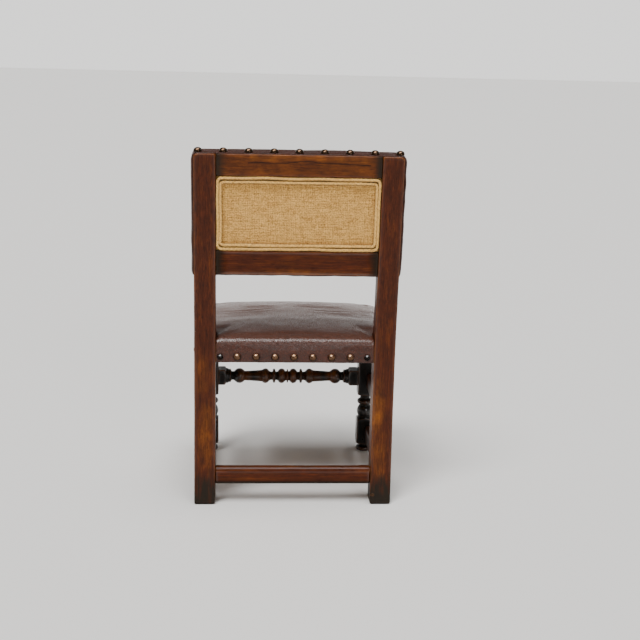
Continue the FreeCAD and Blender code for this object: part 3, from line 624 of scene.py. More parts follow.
def rubbed(piece, seed, spots):
    # Zones where hands and shoes have thinned the polish: middles, reaches (mm) and strengths.
    places = places_of(piece.data)
    total = np.zeros(len(places))
    for middle, reach, strength in spots:
        away = (places / MM - np.array(middle)) / np.array(reach)
        total = np.maximum(total, strength * np.exp(-(away ** 2).sum(axis=1)))
    uneven = 1 + 0.5 * noise_along(places, 17 * MM, seed)
    set_attribute(piece.data, "rub", total * uneven)


# The shake in the crest rail: share of the half width, and mm below the top
SHAKE = ((0.55, 14), (0.40, 13), (0.27, 14), (0.12, 13), (0.0, 10.5),
         (-0.10, 10), (-0.2, 12), (-0.35, 12.5), (-0.6, 14), (-0.75, 15))


def cracked(piece, seed):
    # An old shake along the grain, with lighter wood above it.
    mesh = piece.data
    places = carried(places_of(mesh))
    low, high = lean_box("crest_rail")
    spots = np.array([(share * high.x, high.z - drop * MM) for share, drop in SHAKE])
    # np.interp wants rising numbers, and the shake is listed towards -x
    walk, first, last = -places[:, 0], -spots[0, 0], -spots[-1, 0]
    course = np.interp(walk, -spots[:, 0], spots[:, 1])
    course += 0.5 * MM * noise_along(places * ACROSS_ONLY, 7 * MM, seed)
    fading, half_width, skin = 8 * MM, 6 * MM, 3 * MM
    inside = step_between(walk, first, first + fading) * (1 - step_between(walk, last - fading, last))
    near = np.clip(1 - np.abs(places[:, 2] - course) / half_width, 0, 1)
    rear = places[:, 1] > high.y - skin
    set_attribute(mesh, "crack", near * (inside > 0.05) * rear)
    above = step_between(places[:, 2], course + 0.5 * MM, course + 4 * MM) * inside * rear
    broad = 0.5 + 0.25 * noise_along(places, 30 * MM, seed + 2)
    band = above * (0.7 + 0.5 * noise_along(places, 15 * MM, seed + 3))
    set_attribute(mesh, "rub", np.maximum(broad, band))


def post_stain(piece, seed):
    # Feet scuffed grey-black near the floor.
    places = places_of(piece.data)
    dark_below, clean_above, darkest = 18 * MM, 66 * MM, 0.92
    streaks = 32 * MM * noise_along(places * UPRIGHT_STREAKS, 3.5 * MM, seed)
    patches = 10 * MM * noise_along(places, 14 * MM, seed + 4)
    level = places[:, 2] + streaks + patches
    set_attribute(piece.data, "stain", darkest * (1 - step_between(level, dark_below, clean_above)))


def rail_stain(piece, seed):
    # Old stain beside the posts, where no hand reaches.
    places = places_of(piece.data)
    inset, reach, ragged, darkest = 20 * MM, 20 * MM, 9 * MM, 0.9
    out = np.abs(places[:, 0])
    end = out.max() - inset
    inner = end - reach + ragged * noise_along(places, 14 * MM, seed)
    set_attribute(piece.data, "stain", darkest * step_between(out, inner, end - 3 * MM))


# Where the posts are rubbed: middle and reach in mm, and strength
POST_RUBS = {
    "left": (((150, 140, 125), (15, 60, 60), 0.7), ((158, 140, 230), (22, 60, 60), 0.35)),
    "right": (((-142, 140, 168), (13, 60, 48), 1.0), ((-147, 140, 100), (16, 60, 60), 0.55)),
}
# Where the front stretcher is rubbed, to each side: mm from the middle, reach in mm, strength
STRETCHER_RUBS = ((46, 17, 1.2), (84, 11, 1.5), (9, 12, 1.0))


class STOOL_OT_posts(bpy.types.Operator):
    """Rear posts of worn oak, with scuffed feet"""

    bl_idname = "stool.posts"
    bl_label = "Rear posts"

    def execute(self, context):
        palette = colours()
        oak = oak_material("waxed_oak", (palette.oak_mid, palette.oak_warm, palette.oak_worn),
                           gloss=0.42, coat=0.1)
        for seed, side in enumerate(("left", "right"), 1):
            piece = wood_piece("rear_post_" + side, 2, seed, oak, dents=16)
            post_stain(piece, seed)
            rubbed(piece, seed, POST_RUBS[side])
        return {"FINISHED"}


class STOOL_OT_rails(bpy.types.Operator):
    """Crest rail, lower back rail and plain stretchers of worn oak"""

    bl_idname = "stool.rails"
    bl_label = "Rails and stretchers"

    def execute(self, context):
        palette = colours()
        oak = bpy.data.materials["waxed_oak"]
        warm = oak_material("rubbed_oak", (palette.oak_mid, palette.oak_warm, palette.oak_worn),
                            gloss=0.3, coat=0.5, shine=0.08)
        piece = wood_piece("crest_rail", 0, 11, oak, raked=True)
        rail_stain(piece, 11)
        cracked(piece, 11)
        piece = wood_piece("lower_back_rail", 0, 12, warm, raked=True)
        rail_stain(piece, 12)
        low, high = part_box("lower_back_rail")
        rubbed(piece, 12, (((0, high.y / MM, low.z / MM), (110, 50, 10), 0.8),))
        # Shoes have worn the rear stretcher's upper arris round
        piece = wood_piece("rear_stretcher", 0, 13, warm, dents=10,
                           radii=(9 * MM, 4 * MM, 4 * MM, 3 * MM))
        low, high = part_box("rear_stretcher")
        # Painted shade along the underside of the rear stretcher, in the patina colour
        shade_along_underside = 1 - step_between(places_of(piece.data)[:, 2], low.z + 4.5 * MM, low.z + 8 * MM)
        set_attribute(piece.data, "stain", 0.9 * shade_along_underside)
        for seed, place in enumerate(("upper_left", "upper_right", "lower_left", "lower_right"), 14):
            piece = wood_piece("side_stretcher_" + place, 1, seed, oak)
            # Painted shade: the side stretchers are darkened all over, as they stand in shade under the
            # seat
            set_attribute(piece.data, "stain", np.full(len(piece.data.vertices), 0.5))
        return {"FINISHED"}


class STOOL_OT_turned(bpy.types.Operator):
    """Front legs and front stretcher, turned and ebonised"""

    bl_idname = "stool.turned"
    bl_label = "Turned work"

    def execute(self, context):
        palette = colours()
        black = oak_material("ebonised_oak", (palette.ebonised, palette.oak_dark, palette.ebonised_worn),
                             gloss=0.3, coat=0.22, wear_shows=0.22)
        for seed, side in enumerate(("left", "right"), 21):
            wood_piece("front_leg_" + side, 2, seed, black, dents=5, turned=True)
        piece = wood_piece("front_stretcher", 0, 23, black, dents=0, turned=True)
        low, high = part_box("front_stretcher")
        middle = (low + high) / 2 / MM
        rubbed(piece, 23, [((middle.x + side * away, middle.y, middle.z), (reach, 50, 50), strength)
                           for side in (-1, 1) for away, reach, strength in STRETCHER_RUBS])
        return {"FINISHED"}


class STOOL_OT_inside(bpy.types.Operator):
    """Seat rails, glue blocks, webbing and cloths that the covers hide"""

    bl_idname = "stool.inside"
    bl_label = "Inside of the seat and back"

    def execute(self, context):
        finishes = {
            bare_wood_material(): (
                "seat_rail_front", "seat_rail_rear", "seat_rail_left", "seat_rail_right",
                "seat_corner_blocks", "back_tacking_strips"),
            webbing_material("jute_webbing", colours().hessian, 9 * MM): ("seat_webbing", "back_webbing"),
            webbing_material("dusty_linen", colours().lining, 5 * MM): (
                "seat_base_cloth", "back_base_cloth"),
        }
        for material, nodes in finishes.items():
            for node in nodes:
                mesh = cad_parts[node].data
                mesh.materials.clear()
                mesh.materials.append(material)
        return {"FINISHED"}


# Nail places
NAIL_ROWS = {
    "seat_nails_rear": (0, 1, 0), "seat_nails_rear_ends": (0, 1, 0), "seat_nails_front": (0, -1, 0),
    "seat_nails_left": (1, 0, 0), "seat_nails_right": (-1, 0, 0),
    "back_nails_top": (0, 0, 1), "back_nails_front": (0, -1, 0),
}


def nail_places(node):
    # Base centre, outward direction, radius and height of each nail head of a CAD node.
    work = bmesh.new()
    work.from_mesh(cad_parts[node].data)
    bmesh.ops.remove_doubles(work, verts=work.verts, dist=MERGE)
    unseen = set(work.verts)
    heads = []
    while unseen:
        group, front = [], [unseen.pop()]
        while front:
            vert = front.pop()
            group.append(vert)
            for edge in vert.link_edges:
                other = edge.other_vert(vert)
                if other in unseen:
                    unseen.remove(other)
                    front.append(other)
        heads.append(nail_of(np.array([vert.co[:] for vert in group]), NAIL_ROWS[node]))
    work.free()
    return sorted(heads, key=lambda head: tuple(round(part, 4) for part in head[0]))


def nail_of(places, outward):
    # A nail's axis is the direction in which its points spread least.
    middle = places.mean(axis=0)
    axis = np.linalg.svd(places - middle)[2][2]
    axis *= np.sign(axis @ np.array(outward))
    along = (places - middle) @ axis
    base = middle + axis * along.min()
    radius = np.linalg.norm(places - base - np.outer((places - base) @ axis, axis), axis=1).max()
    return base, axis, radius, along.max() - along.min()


# Leather
def swollen(piece, pinned, swell):
    # The stuffing pushes the cover out: a short cloth run under pressure, with capped motion.
    mesh = piece.data
    before = places_of(mesh)
    group = piece.vertex_groups.new(name="held")
    group.add([int(index) for index in np.flatnonzero(pinned)], 1.0, "REPLACE")
    cloth = piece.modifiers.new("Cover", "CLOTH")
    settings = cloth.settings
    settings.quality = 6
    settings.mass = 0.4
    settings.tension_stiffness = 25
    settings.compression_stiffness = 25
    settings.bending_stiffness = 2
    settings.use_pressure = True
    settings.uniform_pressure_force = 4.0
    settings.vertex_group_mass = group.name
    settings.effector_weights.gravity = 0.0
    first, last = 1, 20
    cloth.point_cache.frame_start = first
    cloth.point_cache.frame_end = last
    for number in range(first, last + 1):
        scene.frame_set(number)
    shown = piece.evaluated_get(bpy.context.evaluated_depsgraph_get())
    after = places_of(shown.to_mesh())
    shown.to_mesh_clear()
    piece.modifiers.remove(cloth)
    scene.frame_set(first)
    normals = normals_of(mesh)
    outward = np.maximum(((after - before) * normals).sum(axis=1), 0)
    set_places(mesh, before + normals * (swell * np.tanh(outward / swell))[:, None])
    piece.vertex_groups.clear()


def dimpled(piece, nodes):
    # Each nail pulls the leather in, with small puckers running out from it.
    mesh = piece.data
    depth = sizes().nail_dimple
    places, normals = places_of(mesh), normals_of(mesh)
    # Angles round a nail are counted from a direction across this one, which no nail points along
    skew = [0.31, 0.52, 0.79]
    pucker_count, pucker_height, own_turn, reach = 5, 0.15, 900, 12 * MM
    for node in nodes:
        for base, axis, radius, _ in nail_places(node):
            offset = places - base
            flat = offset - np.outer(offset @ axis, axis)
            away = np.linalg.norm(flat, axis=1)
            close = (np.abs(offset @ axis) < reach) & ((normals @ axis) > 0.2)
            pull = ridge_at(np.maximum(away - radius * 0.8, 0), radius * 0.55)
            side = np.cross(axis, skew)
            side /= np.linalg.norm(side)
            angle = np.arctan2(flat @ np.cross(axis, side), flat @ side)
            wave = np.sin(angle * pucker_count + base[0] * own_turn)
            pucker = pucker_height * wave * ridge_at(away - radius * 1.6, radius * 0.8)
            places -= normals * (depth * (pull + pucker) * close)[:, None]
    set_places(mesh, places)


def cover_block(low, high):
    # A closed block between two corners.
    work = bmesh.new()
    bmesh.ops.create_cube(work, size=1.0)
    bmesh.ops.scale(work, vec=high - low, verts=work.verts)
    bmesh.ops.translate(work, vec=(low + high) / 2, verts=work.verts)
    return work


def rolled(work, chosen, radius, segments):
    edges = [edge for edge in work.edges if chosen(edge)]
    bmesh.ops.bevel(work, geom=edges, offset=radius, offset_type="OFFSET", affect="EDGES",
                    segments=segments, profile=0.5, material=-1)


def cut_by(piece, low, high):
    # Takes the box between two corners out of the piece.
    tool = bmesh_object("cutter", cover_block(low, high))
    modified(piece, "BOOLEAN", operation="DIFFERENCE", solver="EXACT", object=tool)
    bpy.data.objects.remove(tool)


def opened(piece, removed):
    # Deletes the faces that removed picks by their middles and directions, then cuts the rest finer.
    work = bmesh.new()
    work.from_mesh(piece.data)
    gone = [face for face in work.faces if removed(face.calc_center_median(), face.normal)]
    bmesh.ops.delete(work, geom=gone, context="FACES")
    work.to_mesh(piece.data)
    work.free()
    modified(piece, "SUBSURF", levels=1, render_levels=1)


def thickened(piece, thickness):
    modified(piece, "SOLIDIFY", thickness=thickness, offset=-1.0)


# Creases of the seat: both ends and the bend of the line in mm, then width and depth in mm
CREASES = (
    (((-5, -92), (118, -66)), 8, 4.0, 0.85), (((10, -58), (140, -28)), 10, 4.8, 0.8),
    (((-128, -74), (12, -60)), -7, 4.2, 0.9), (((-140, -38), (-20, -36)), 8, 5.0, 0.7),
    (((-90, -100), (30, -84)), 5, 3.8, 0.6), (((-150, 20), (-30, 2)), -8, 14.0, 0.6),
    (((20, 6), (150, 30)), -7, 14.0, 0.6),
)
# How far leather stands out before it counts as worn, and the rounds of smoothing behind that
WEAR_OF_LEATHER = (0.7 * MM, 10)


class STOOL_OT_seat_cover(bpy.types.Operator):
    """Leather seat cover: crowned, creased across the top and nailed round its skirts"""

    bl_idname = "stool.seat_cover"
    bl_label = "Seat cover"

    def execute(self, context):
        look = sizes()
        low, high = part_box("seat_leather")
        places = places_of(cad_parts["seat_leather"].data)
        notch_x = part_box("rear_post_left")[0].x
        beside = places[places[:, 0] > notch_x + 5 * MM]
        notch_y = beside[:, 1].max()
        crown_y = places[places[:, 2] > high.z - 0.2 * MM].mean(axis=0)[1]
        corner = beside[beside[:, 1] > notch_y - 2 * MM][:, 2].max()
        top = Vector((high.x, high.y, corner - 4 * MM))
        work = cover_block(low - Vector((0, 0, 3 * MM)), top)
        near = high.y - 20 * MM
        rolled(work, lambda edge: all(v.co.z > top.z - MM and v.co.y > near for v in edge.verts),
               6 * MM, 4)
        rolled(work, lambda edge: all(v.co.z > top.z - MM for v in edge.verts)
               and any(v.co.y < near for v in edge.verts), 10 * MM, 5)
        piece = bmesh_object("seat_cover", work)
        for side in (-1, 1):
            inner, outer = side * (notch_x + 2 * MM), side * (high.x + 20 * MM)
            cut_by(piece, Vector((min(inner, outer), notch_y, low.z - 10 * MM)),
                   Vector((max(inner, outer), high.y + 20 * MM, top.z + 10 * MM)))
        evened(piece, look.leather_cell, 2)
        self.crowned(piece, low, high, top, crown_y)
        swollen(piece, places_of(piece.data)[:, 2] < low.z + 14 * MM, look.leather_swell)
        opened(piece, lambda middle, normal: normal.z < -0.6 and middle.z < low.z + 4 * MM)
        self.squared(piece, low, notch_x - 0.4 * MM, notch_y)
        self.creased(piece, low, high)
        dimpled(piece, [node for node in NAIL_ROWS if node.startswith("seat")])
        levels = places_of(piece.data)[:, 2]
        set_wear(piece, *WEAR_OF_LEATHER, step_between(levels, low.z + 1.5 * MM, low.z + 5 * MM))
        thickened(piece, look.leather_thickness)
        kept(piece, leather_material(), "leather", "seat_leather", "seat_stuffing")
        return {"FINISHED"}

    def squared(self, piece, low, gap, notch_y):
        # The skirt is cut off level below, and square where it meets the rear posts.
        places = places_of(piece.data)
        between = places[:, 1] > notch_y + 1.5 * MM
        places[between, 0] = np.clip(places[between, 0], -gap, gap)
        places[:, 2] = np.maximum(places[:, 2], low.z)
        set_places(piece.data, places)

    def crowned(self, piece, low, high, top, crown_y):
        # Raises the top to the crown's two arcs, from the skirt upwards. Its rear edge is rolled
        # and nearly straight across, because it is pulled tight between the posts.
        places = places_of(piece.data)
        radius_across, radius_along = 2.2, 1.05
        roll_rise, roll_fall, roll_reach = 3.6 * MM, 4.4 * MM, 18 * MM
        inner = 1 - step_between(np.abs(places[:, 0]), 146 * MM, 166 * MM)
        rear = step_between(places[:, 1], crown_y, high.y - 15 * MM) * inner
        fall = np.clip((places[:, 1] - high.y + roll_reach) / roll_reach, 0, 1) ** 2 * inner
        drop = arc_drop(radius_across, places[:, 0]) * (1 - 0.85 * rear)
        drop += arc_drop(radius_along, places[:, 1] - crown_y)
        lift = high.z - drop + roll_rise * rear - roll_fall * fall - top.z
        places[:, 2] += lift * step_between(places[:, 2], low.z + 6 * MM, top.z)
        set_places(piece.data, places)

    def creased(self, piece, low, high):
        # Folds across the top, a puckered band over the rear roll, and a hem that wanders.
        mesh = piece.data
        places, normals = places_of(mesh), normals_of(mesh)
        upper = normals[:, 2] > 0.3
        for ((x0, y0), (x1, y1)), bend, width, depth in CREASES:
            along = np.clip((places[:, 0] / MM - x0) / (x1 - x0), 0.0, 1.0)
            arch = np.sin(along * math.pi)
            distance = places[:, 1] / MM - (y0 + (y1 - y0) * along + bend * arch)
            fold = ridge_at(distance, width) - 0.8 * ridge_at(distance - width * 1.6, width * 1.2)
            places[:, 2] -= depth * MM * fold * arch ** 1.5 * upper
        swell = noise_along(places, 46 * MM, 4) * 0.5 * MM + noise_along(places, 17 * MM, 9) * 0.2 * MM
        behind = places[:, 1] - high.y
        rear = step_between(behind, -26 * MM, -8 * MM) * upper
        set_attribute(mesh, "pucker", ridge_at(behind + 7 * MM, 9 * MM) * (normals[:, 2] > 0.15))
        set_attribute(mesh, "fade", 0.6 * step_between(normals[:, 2], 0.5, 0.95))
        uneven = 1 + 0.9 * noise_along(places * ACROSS_ONLY, 30 * MM, 14)
        places[:, 2] += uneven * upper * 0.4 * MM * ridge_at(behind + 15 * MM, 10 * MM)
        pucker = np.sin(places[:, 0] / (3.1 * MM) + 2.5 * noise_along(places, 15 * MM, 3))
        places += normals * (swell * (0.35 + 0.65 * upper) + 0.05 * MM * pucker * rear)[:, None]
        hem = 1 - step_between(places[:, 2], low.z + 1 * MM, low.z + 9 * MM)
        places[:, 2] += hem * 0.7 * MM * noise_along(places, 16 * MM, 6)
        set_places(mesh, places)


class STOOL_OT_back_cover(bpy.types.Operator):
    """Leather back cover: padded in front and lapped over the top and sides of the frame"""

    bl_idname = "stool.back_cover"
    bl_label = "Back cover"

    def execute(self, context):
        look = sizes()
        low, high = lean_box("back_leather")
        work = cover_block(low, high)
        rolled(work, lambda edge: all(v.co.z > high.z - MM for v in edge.verts)
               and abs(edge.verts[0].co.x - edge.verts[1].co.x) < MM, 10.5 * MM, 5)
        rolled(work, lambda edge: all(v.co.y < low.y + MM for v in edge.verts), 7.5 * MM, 4)
        piece = bmesh_object("back_cover", work)
        evened(piece, look.leather_cell, 2)
        self.crowned(piece, low, high)
        places = places_of(piece.data)
        pinned = places[:, 1] > high.y - 24 * MM
        set_places(piece.data, carried(places, LEAN))
        swollen(piece, pinned, look.leather_swell * 0.6)
        set_places(piece.data, carried(places_of(piece.data)))
        opened(piece, lambda middle, normal: normal.y > 0.6 and middle.y > high.y - 4 * MM)
        self.wavy(piece, high)
        set_places(piece.data, carried(places_of(piece.data), LEAN))
        dimpled(piece, ("back_nails_top", "back_nails_front"))
        depths = carried(places_of(piece.data))[:, 1]
        set_wear(piece, *WEAR_OF_LEATHER, 1 - step_between(depths, high.y - 8 * MM, high.y - 3 * MM))
        thickened(piece, look.leather_lap)
        kept(piece, bpy.data.materials["oxblood_leather"], "leather", "back_leather", "back_stuffing")
        return {"FINISHED"}

    def crowned(self, piece, low, high):
        # Two arcs of padding, towards the sitter.
        places = places_of(piece.data)
        radius_across, radius_along, flat_rim = 1.8, 1.2, 12 * MM
        drop = arc_drop(radius_across, places[:, 0])
        drop += arc_drop(radius_along, places[:, 2] - (low.z + high.z) / 2)
        places[:, 1] += drop * (1 - step_between(places[:, 1], low.y, high.y - flat_rim))
        set_places(piece.data, places)

    def wavy(self, piece, high):
        # The cut edge wanders, and the leather lies a little unevenly on the sides and top.
        mesh = piece.data
        places, normals = places_of(mesh), normals_of(mesh)
        edge = step_between(places[:, 1], high.y - 14 * MM, high.y - 1 * MM)
        side = np.abs(normals[:, 0]) > 0.6
        under = normals[:, 2] < -0.5
        wave = noise_along(places, 24 * MM, 12)
        places[:, 0] += np.sign(places[:, 0]) * edge * side * (1.5 * MM * wave - 0.2 * MM)
        places[:, 2] += edge * under * 1.1 * MM * noise_along(places, 20 * MM, 15)
        top = (normals[:, 2] > 0.5) * step_between(places[:, 1], high.y - 12 * MM, high.y)
        places[:, 2] -= top * 0.8 * MM
        places += normals * (0.6 * MM * noise_along(places, 40 * MM, 7))[:, None] * (1 - edge)[:, None]
        set_places(mesh, places)


class STOOL_OT_outside_back(bpy.types.Operator):
    """Hessian panel of the outside back, and the two welt cords that frame it"""

    bl_idname = "stool.outside_back"
    bl_label = "Outside back"

    def execute(self, context):
        self.panel()
        # The cords use a lighter copy of the hessian, a painted highlight, as they stand out into the
        # light
        cloth = hessian_material("hessian_on_the_cross", math.radians(45), lift=0.35)
        for index, ring in enumerate(("outer", "inner")):
            self.cord(ring, index, cloth)
        return {"FINISHED"}

    def panel(self):
        look = sizes()
        low, high = lean_box("back_cloth_panel")
        width, tall = high.x - low.x, high.z - low.z
        work = bmesh.new()
        bmesh.ops.create_grid(work, x_segments=110, y_segments=52, size=0.5)
        bmesh.ops.scale(work, vec=(width, tall, 1), verts=work.verts)
        upright = Matrix.Rotation(-math.pi / 2, 3, "X")
        bmesh.ops.rotate(work, cent=(0, 0, 0), matrix=upright, verts=work.verts)
        bmesh.ops.translate(work, vec=(0, high.y, (low.z + high.z) / 2), verts=work.verts)
        piece = bmesh_object("hessian_panel", work)
        mesh = piece.data
        places = places_of(mesh)
        set_attribute(mesh, "cloth_place", places[:, [0, 2, 1]] * [1, 1, 0])
        share_x = places[:, 0] / high.x
        share_z = (places[:, 2] - (low.z + high.z) / 2) / (tall / 2)
        belly = (1 - share_x ** 2) * (1 - share_z ** 2)
        drag = 0.35 * MM * np.sin(places[:, 0] / (17 * MM) + 1.2) * np.clip(1 - np.abs(share_z), 0, 1)
        slack = 0.7 * MM * noise_along(places, 38 * MM, 31) + 0.25 * MM * noise_along(places, 14 * MM, 33)
        # The cloth is held flat along its rim
        free = np.clip(6 * np.minimum(1 - np.abs(share_x), 1 - np.abs(share_z)), 0, 1)
        places[:, 1] += look.hessian_belly * belly + (drag + slack) * free
        # Painted shadow under the top cord, and dust in soft patches
        shadow_under_cord = 2 * step_between(share_z, 0.84, 0.95)
        patches = step_between(noise_along(places, 30 * MM, 37), 0.0, 0.8)
        set_attribute(mesh, "stain", 0.32 * shadow_under_cord + 0.1 * patches)
        set_places(mesh, carried(places, LEAN))
        thickened(piece, look.hessian_thickness)
        kept(piece, hessian_material("jute_hessian"), "hessian", "back_cloth_panel")

    def cord(self, ring, index, cloth):
        node = "back_piping_" + ring
        low, high = lean_box(node)
        radius = (high.y - low.y) / 2
        depth = (low.y + high.y) / 2
        line = self.route(high.x - radius, low.z + radius, high.z - radius, (6.5 - 2.9 * index) * MM)
        curve = bpy.data.curves.new("welt", "CURVE")
        curve.dimensions = "3D"
        curve.bevel_depth = radius
        curve.bevel_resolution = 6
        spline = curve.splines.new("POLY")
        spline.points.add(len(line) - 1)
        for point, (x, z) in zip(spline.points, line):
            point.co = (x, depth, z, 1.0)
        spline.use_cyclic_u = True
        holder = new_object("welt", curve)
        piece = new_object("welt_" + ring, shown_mesh(holder))
        bpy.data.objects.remove(holder)
        self.wrapped(piece, line, depth, radius, index)
        kept(piece, cloth, "hessian", node)

    def route(self, reach, bottom, top, corner):
        # An even walk round a rectangle with rounded corners, as (x, z) places.
        step = 1.2 * MM
        quarter_turn = math.pi / 2
        centres = ((reach - corner, top - corner), (corner - reach, top - corner),
                   (corner - reach, bottom + corner), (reach - corner, bottom + corner))
        line = []
        for quarter, (x, z) in enumerate(centres):
            turns = max(4, int(corner * quarter_turn / step))
            for number in range(turns + 1):
                angle = quarter_turn * (quarter + number / turns)
                line.append((x + corner * math.cos(angle), z + corner * math.sin(angle)))
            next_x, next_z = centres[(quarter + 1) % 4]
            start = Vector(line[-1])
            end = Vector((next_x + corner * math.cos(angle), next_z + corner * math.sin(angle)))
            count = int((end - start).length / step)
            line += [tuple(start.lerp(end, number / count)) for number in range(1, count)]
        return line

    def wrapped(self, piece, line, depth, radius, index):
        # Cloth wrapped on the cross over a cord: its place runs along and round the cord, and
        # the cord swells and strays a little by hand.
        mesh = piece.data
        places = places_of(mesh)
        walk = np.array(line)
        ahead = np.roll(walk, -1, axis=0) - walk
        run = np.concatenate([[0], np.cumsum(np.linalg.norm(ahead, axis=1))[:-1]])
        flat = places[:, [0, 2]]
        nearest = np.array([int(np.argmin(((walk - p) ** 2).sum(axis=1))) for p in flat])
        centre, along = walk[nearest], run[nearest]
        tangent = (np.roll(walk, -1, axis=0) - np.roll(walk, 1, axis=0))[nearest]
        tangent /= np.linalg.norm(tangent, axis=1)[:, None]
        side = np.stack([tangent[:, 1], -tangent[:, 0]], axis=1)
        angle = np.arctan2(places[:, 1] - depth, ((flat - centre) * side).sum(axis=1))
        nought = np.zeros(len(along))
        set_attribute(mesh, "cloth_place", np.stack([along, angle * radius, nought + index], axis=1))
        ring = np.stack([centre[:, 0], nought + depth, centre[:, 1]], axis=1)
        stretch = np.stack([along, nought, nought], axis=1)
        swell = noise_along(stretch, 16 * MM, 41 + index)
        twist = np.sin(along / (1.2 * MM) + angle * 2)
        upright = np.abs(tangent[:, 1]) ** 2
        grow = (1 + 0.10 * swell + 0.09 * twist) * (1 - 0.14 * upright)
        places = ring + (places - ring) * grow[:, None]
        places[:, 0] += np.sign(places[:, 0]) * index * 1.8 * MM * upright
        sway = 1.1 * MM * noise_along(stretch, 45 * MM, 47 + index)
        places[:, [0, 2]] += side * sway[:, None]
        # Painted shade in the groove between the cords and on their undersides, darkest under the top
        # cords
        groove = 0.9 * step_between(np.abs(np.cos(angle)), 0.6, 1.0)
        top = line[0][1]
        upper = step_between(places[:, 2], top - 40 * MM, top - 10 * MM)
        under = (0.5 + 0.45 * upper) * step_between(-normals_of(mesh)[:, 2], 0.1, 0.8)
        set_attribute(mesh, "stain", np.maximum(groove, under))
        set_places(mesh, carried(places, LEAN))


class STOOL_OT_nails(bpy.types.Operator):
    """Domed nails on the seat and back, each with a turned-down rim"""

    bl_idname = "stool.nails"
    bl_label = "Nails"

    def execute(self, context):
        # Vector noise is seeded from the clock, so a fixed seed makes the tool marks the same each run
        mark_seed = 7
        noise.seed_set(mark_seed)
        palette = colours()
        light, body, dark = palette.brass_rubbed_and_highlit, palette.brass, palette.brass_dark
        # Each finish's bright colour is a painted highlight and its dark colour partly painted shade,
        # laid on by the wear attribute
        brass = nail_material("antique_brass", light, shaded(body, 0.6), dark, 0.34)
        black = nail_material("blackened_iron", grey(0.3), shaded(palette.black_iron, 2.5),
                              shaded(palette.black_iron, 0.5), 0.34)
        # A darker copy of the same brass, painted shade, for the top row and the foot nail
        darker_brass_copy = nail_material("brass_painted_darker", shaded(light, 0.28), shaded(body, 0.28),
                               shaded(dark, 0.6), 0.27)
        finishes = {"seat_nails_rear_ends": black, "back_nails_top": darker_brass_copy}
        for seed, node in enumerate(NAIL_ROWS, 1):
            slot_name = "nail_black" if node.endswith("ends") else "nail_brass"
            self.heads("heads_" + node, nail_places(node), random.Random(seed),
                       finishes.get(node, brass), slot_name, node)
        self.foot_nail(darker_brass_copy)
        return {"FINISHED"}

    def heads(self, name, places, pick, material, slot_name, *replaced):
        # Domes at their places, with a painted highlight above and painted shade below.
        work = bmesh.new()
        for base, axis, radius, height in places:
            self.head(work, base, axis, radius, height, pick)
        piece = bmesh_object(name, work)
        kept(piece, material, slot_name, *replaced)
        # Painted light: each point's wear grows with how far it faces up
        painted_light_level, painted_light_upward = 0.45, 0.75
        set_attribute(piece.data, "wear", painted_light_level + painted_light_upward * normals_of(piece.data)[:, 2])

    def head(self, work, base, axis, radius, height, pick):
        # One dome: a spun outline with a thin rim and a nearly round crown.
        dome = bmesh.new()
        radius += sizes().nail_overhang
        rim, level, steps, sides = 0.93, 0.14, 6, 20
        tilted, mark_depth, mark_width = 0.05, 0.1 * MM, 3 * MM
        profile = [(1.0, -0.12), (1.0, 0.04), (0.95, level)]
        profile += [(rim * math.cos(turn), level + (1 - level) * math.sin(turn))
                    for turn in (math.pi / 2 * number / steps for number in range(1, steps))]
        profile.append((0.0, 1.0))
        verts = [dome.verts.new((radius * out, 0, height * up)) for out, up in profile]
        edges = [dome.edges.new(pair) for pair in zip(verts, verts[1:])]
        bmesh.ops.spin(dome, geom=verts + edges, cent=(0, 0, 0), axis=(0, 0, 1), dvec=(0, 0, 0),
                       angle=math.tau, steps=sides, use_merge=True, use_duplicate=False)
        bmesh.ops.remove_doubles(dome, verts=dome.verts, dist=MERGE)
        bmesh.ops.contextual_create(dome, geom=[edge for edge in dome.edges if edge.is_boundary])
        bmesh.ops.recalc_face_normals(dome, faces=dome.faces)
        tilt = Vector((pick.uniform(-1, 1), pick.uniform(-1, 1), pick.uniform(-1, 1))) * tilted
        turn = Vector((0, 0, 1)).rotation_difference(Vector(axis) + tilt)
        spin = Quaternion((0, 0, 1), pick.uniform(0, math.tau))
        place = Matrix.Translation(base) @ turn.to_matrix().to_4x4() @ spin.to_matrix().to_4x4()
        bmesh.ops.transform(dome, matrix=place, verts=dome.verts)
        for vert in dome.verts:
            vert.co += mark_depth * noise.noise_vector(vert.co / mark_width)
        mesh = bpy.data.meshes.new("dome")
        dome.to_mesh(mesh)
        dome.free()
        work.from_mesh(mesh)
        bpy.data.meshes.remove(mesh)

    def foot_nail(self, material):
        # One small nail head low on the rear face of the rear post at the sitter's right.
        radius, height, level, inset = 3.9 * MM, 1.8 * MM, 17 * MM, 4.6 * MM
        post = places_of(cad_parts["rear_post_right"].data)
        foot = post[post[:, 2] < level + 12 * MM]
        seat = post[(post[:, 2] > 200 * MM) & (post[:, 2] < 280 * MM)]
        splay = (foot[:, 1].max() - seat[:, 1].max()) / (150 * MM)
        base = np.array([foot[:, 0].max() - inset, foot[:, 1].max() - max(splay, 0) * level, level])
        self.heads("foot_nail", [(base, np.array([0, 1.0, 0]), radius, height)], random.Random(77),
                   material, "nail_brass")


# Name of each light, the direction that it comes from, its width in degrees and its power
LIGHTS = (
    ("skylight", (0.35, 0.55, 1.0), 24, 2.5),
    ("overhead", (-0.1, 0.12, 1.0), 28, 1.8),
    ("fill", (-0.5, 1.2, 0.45), 18, 0.45),
)


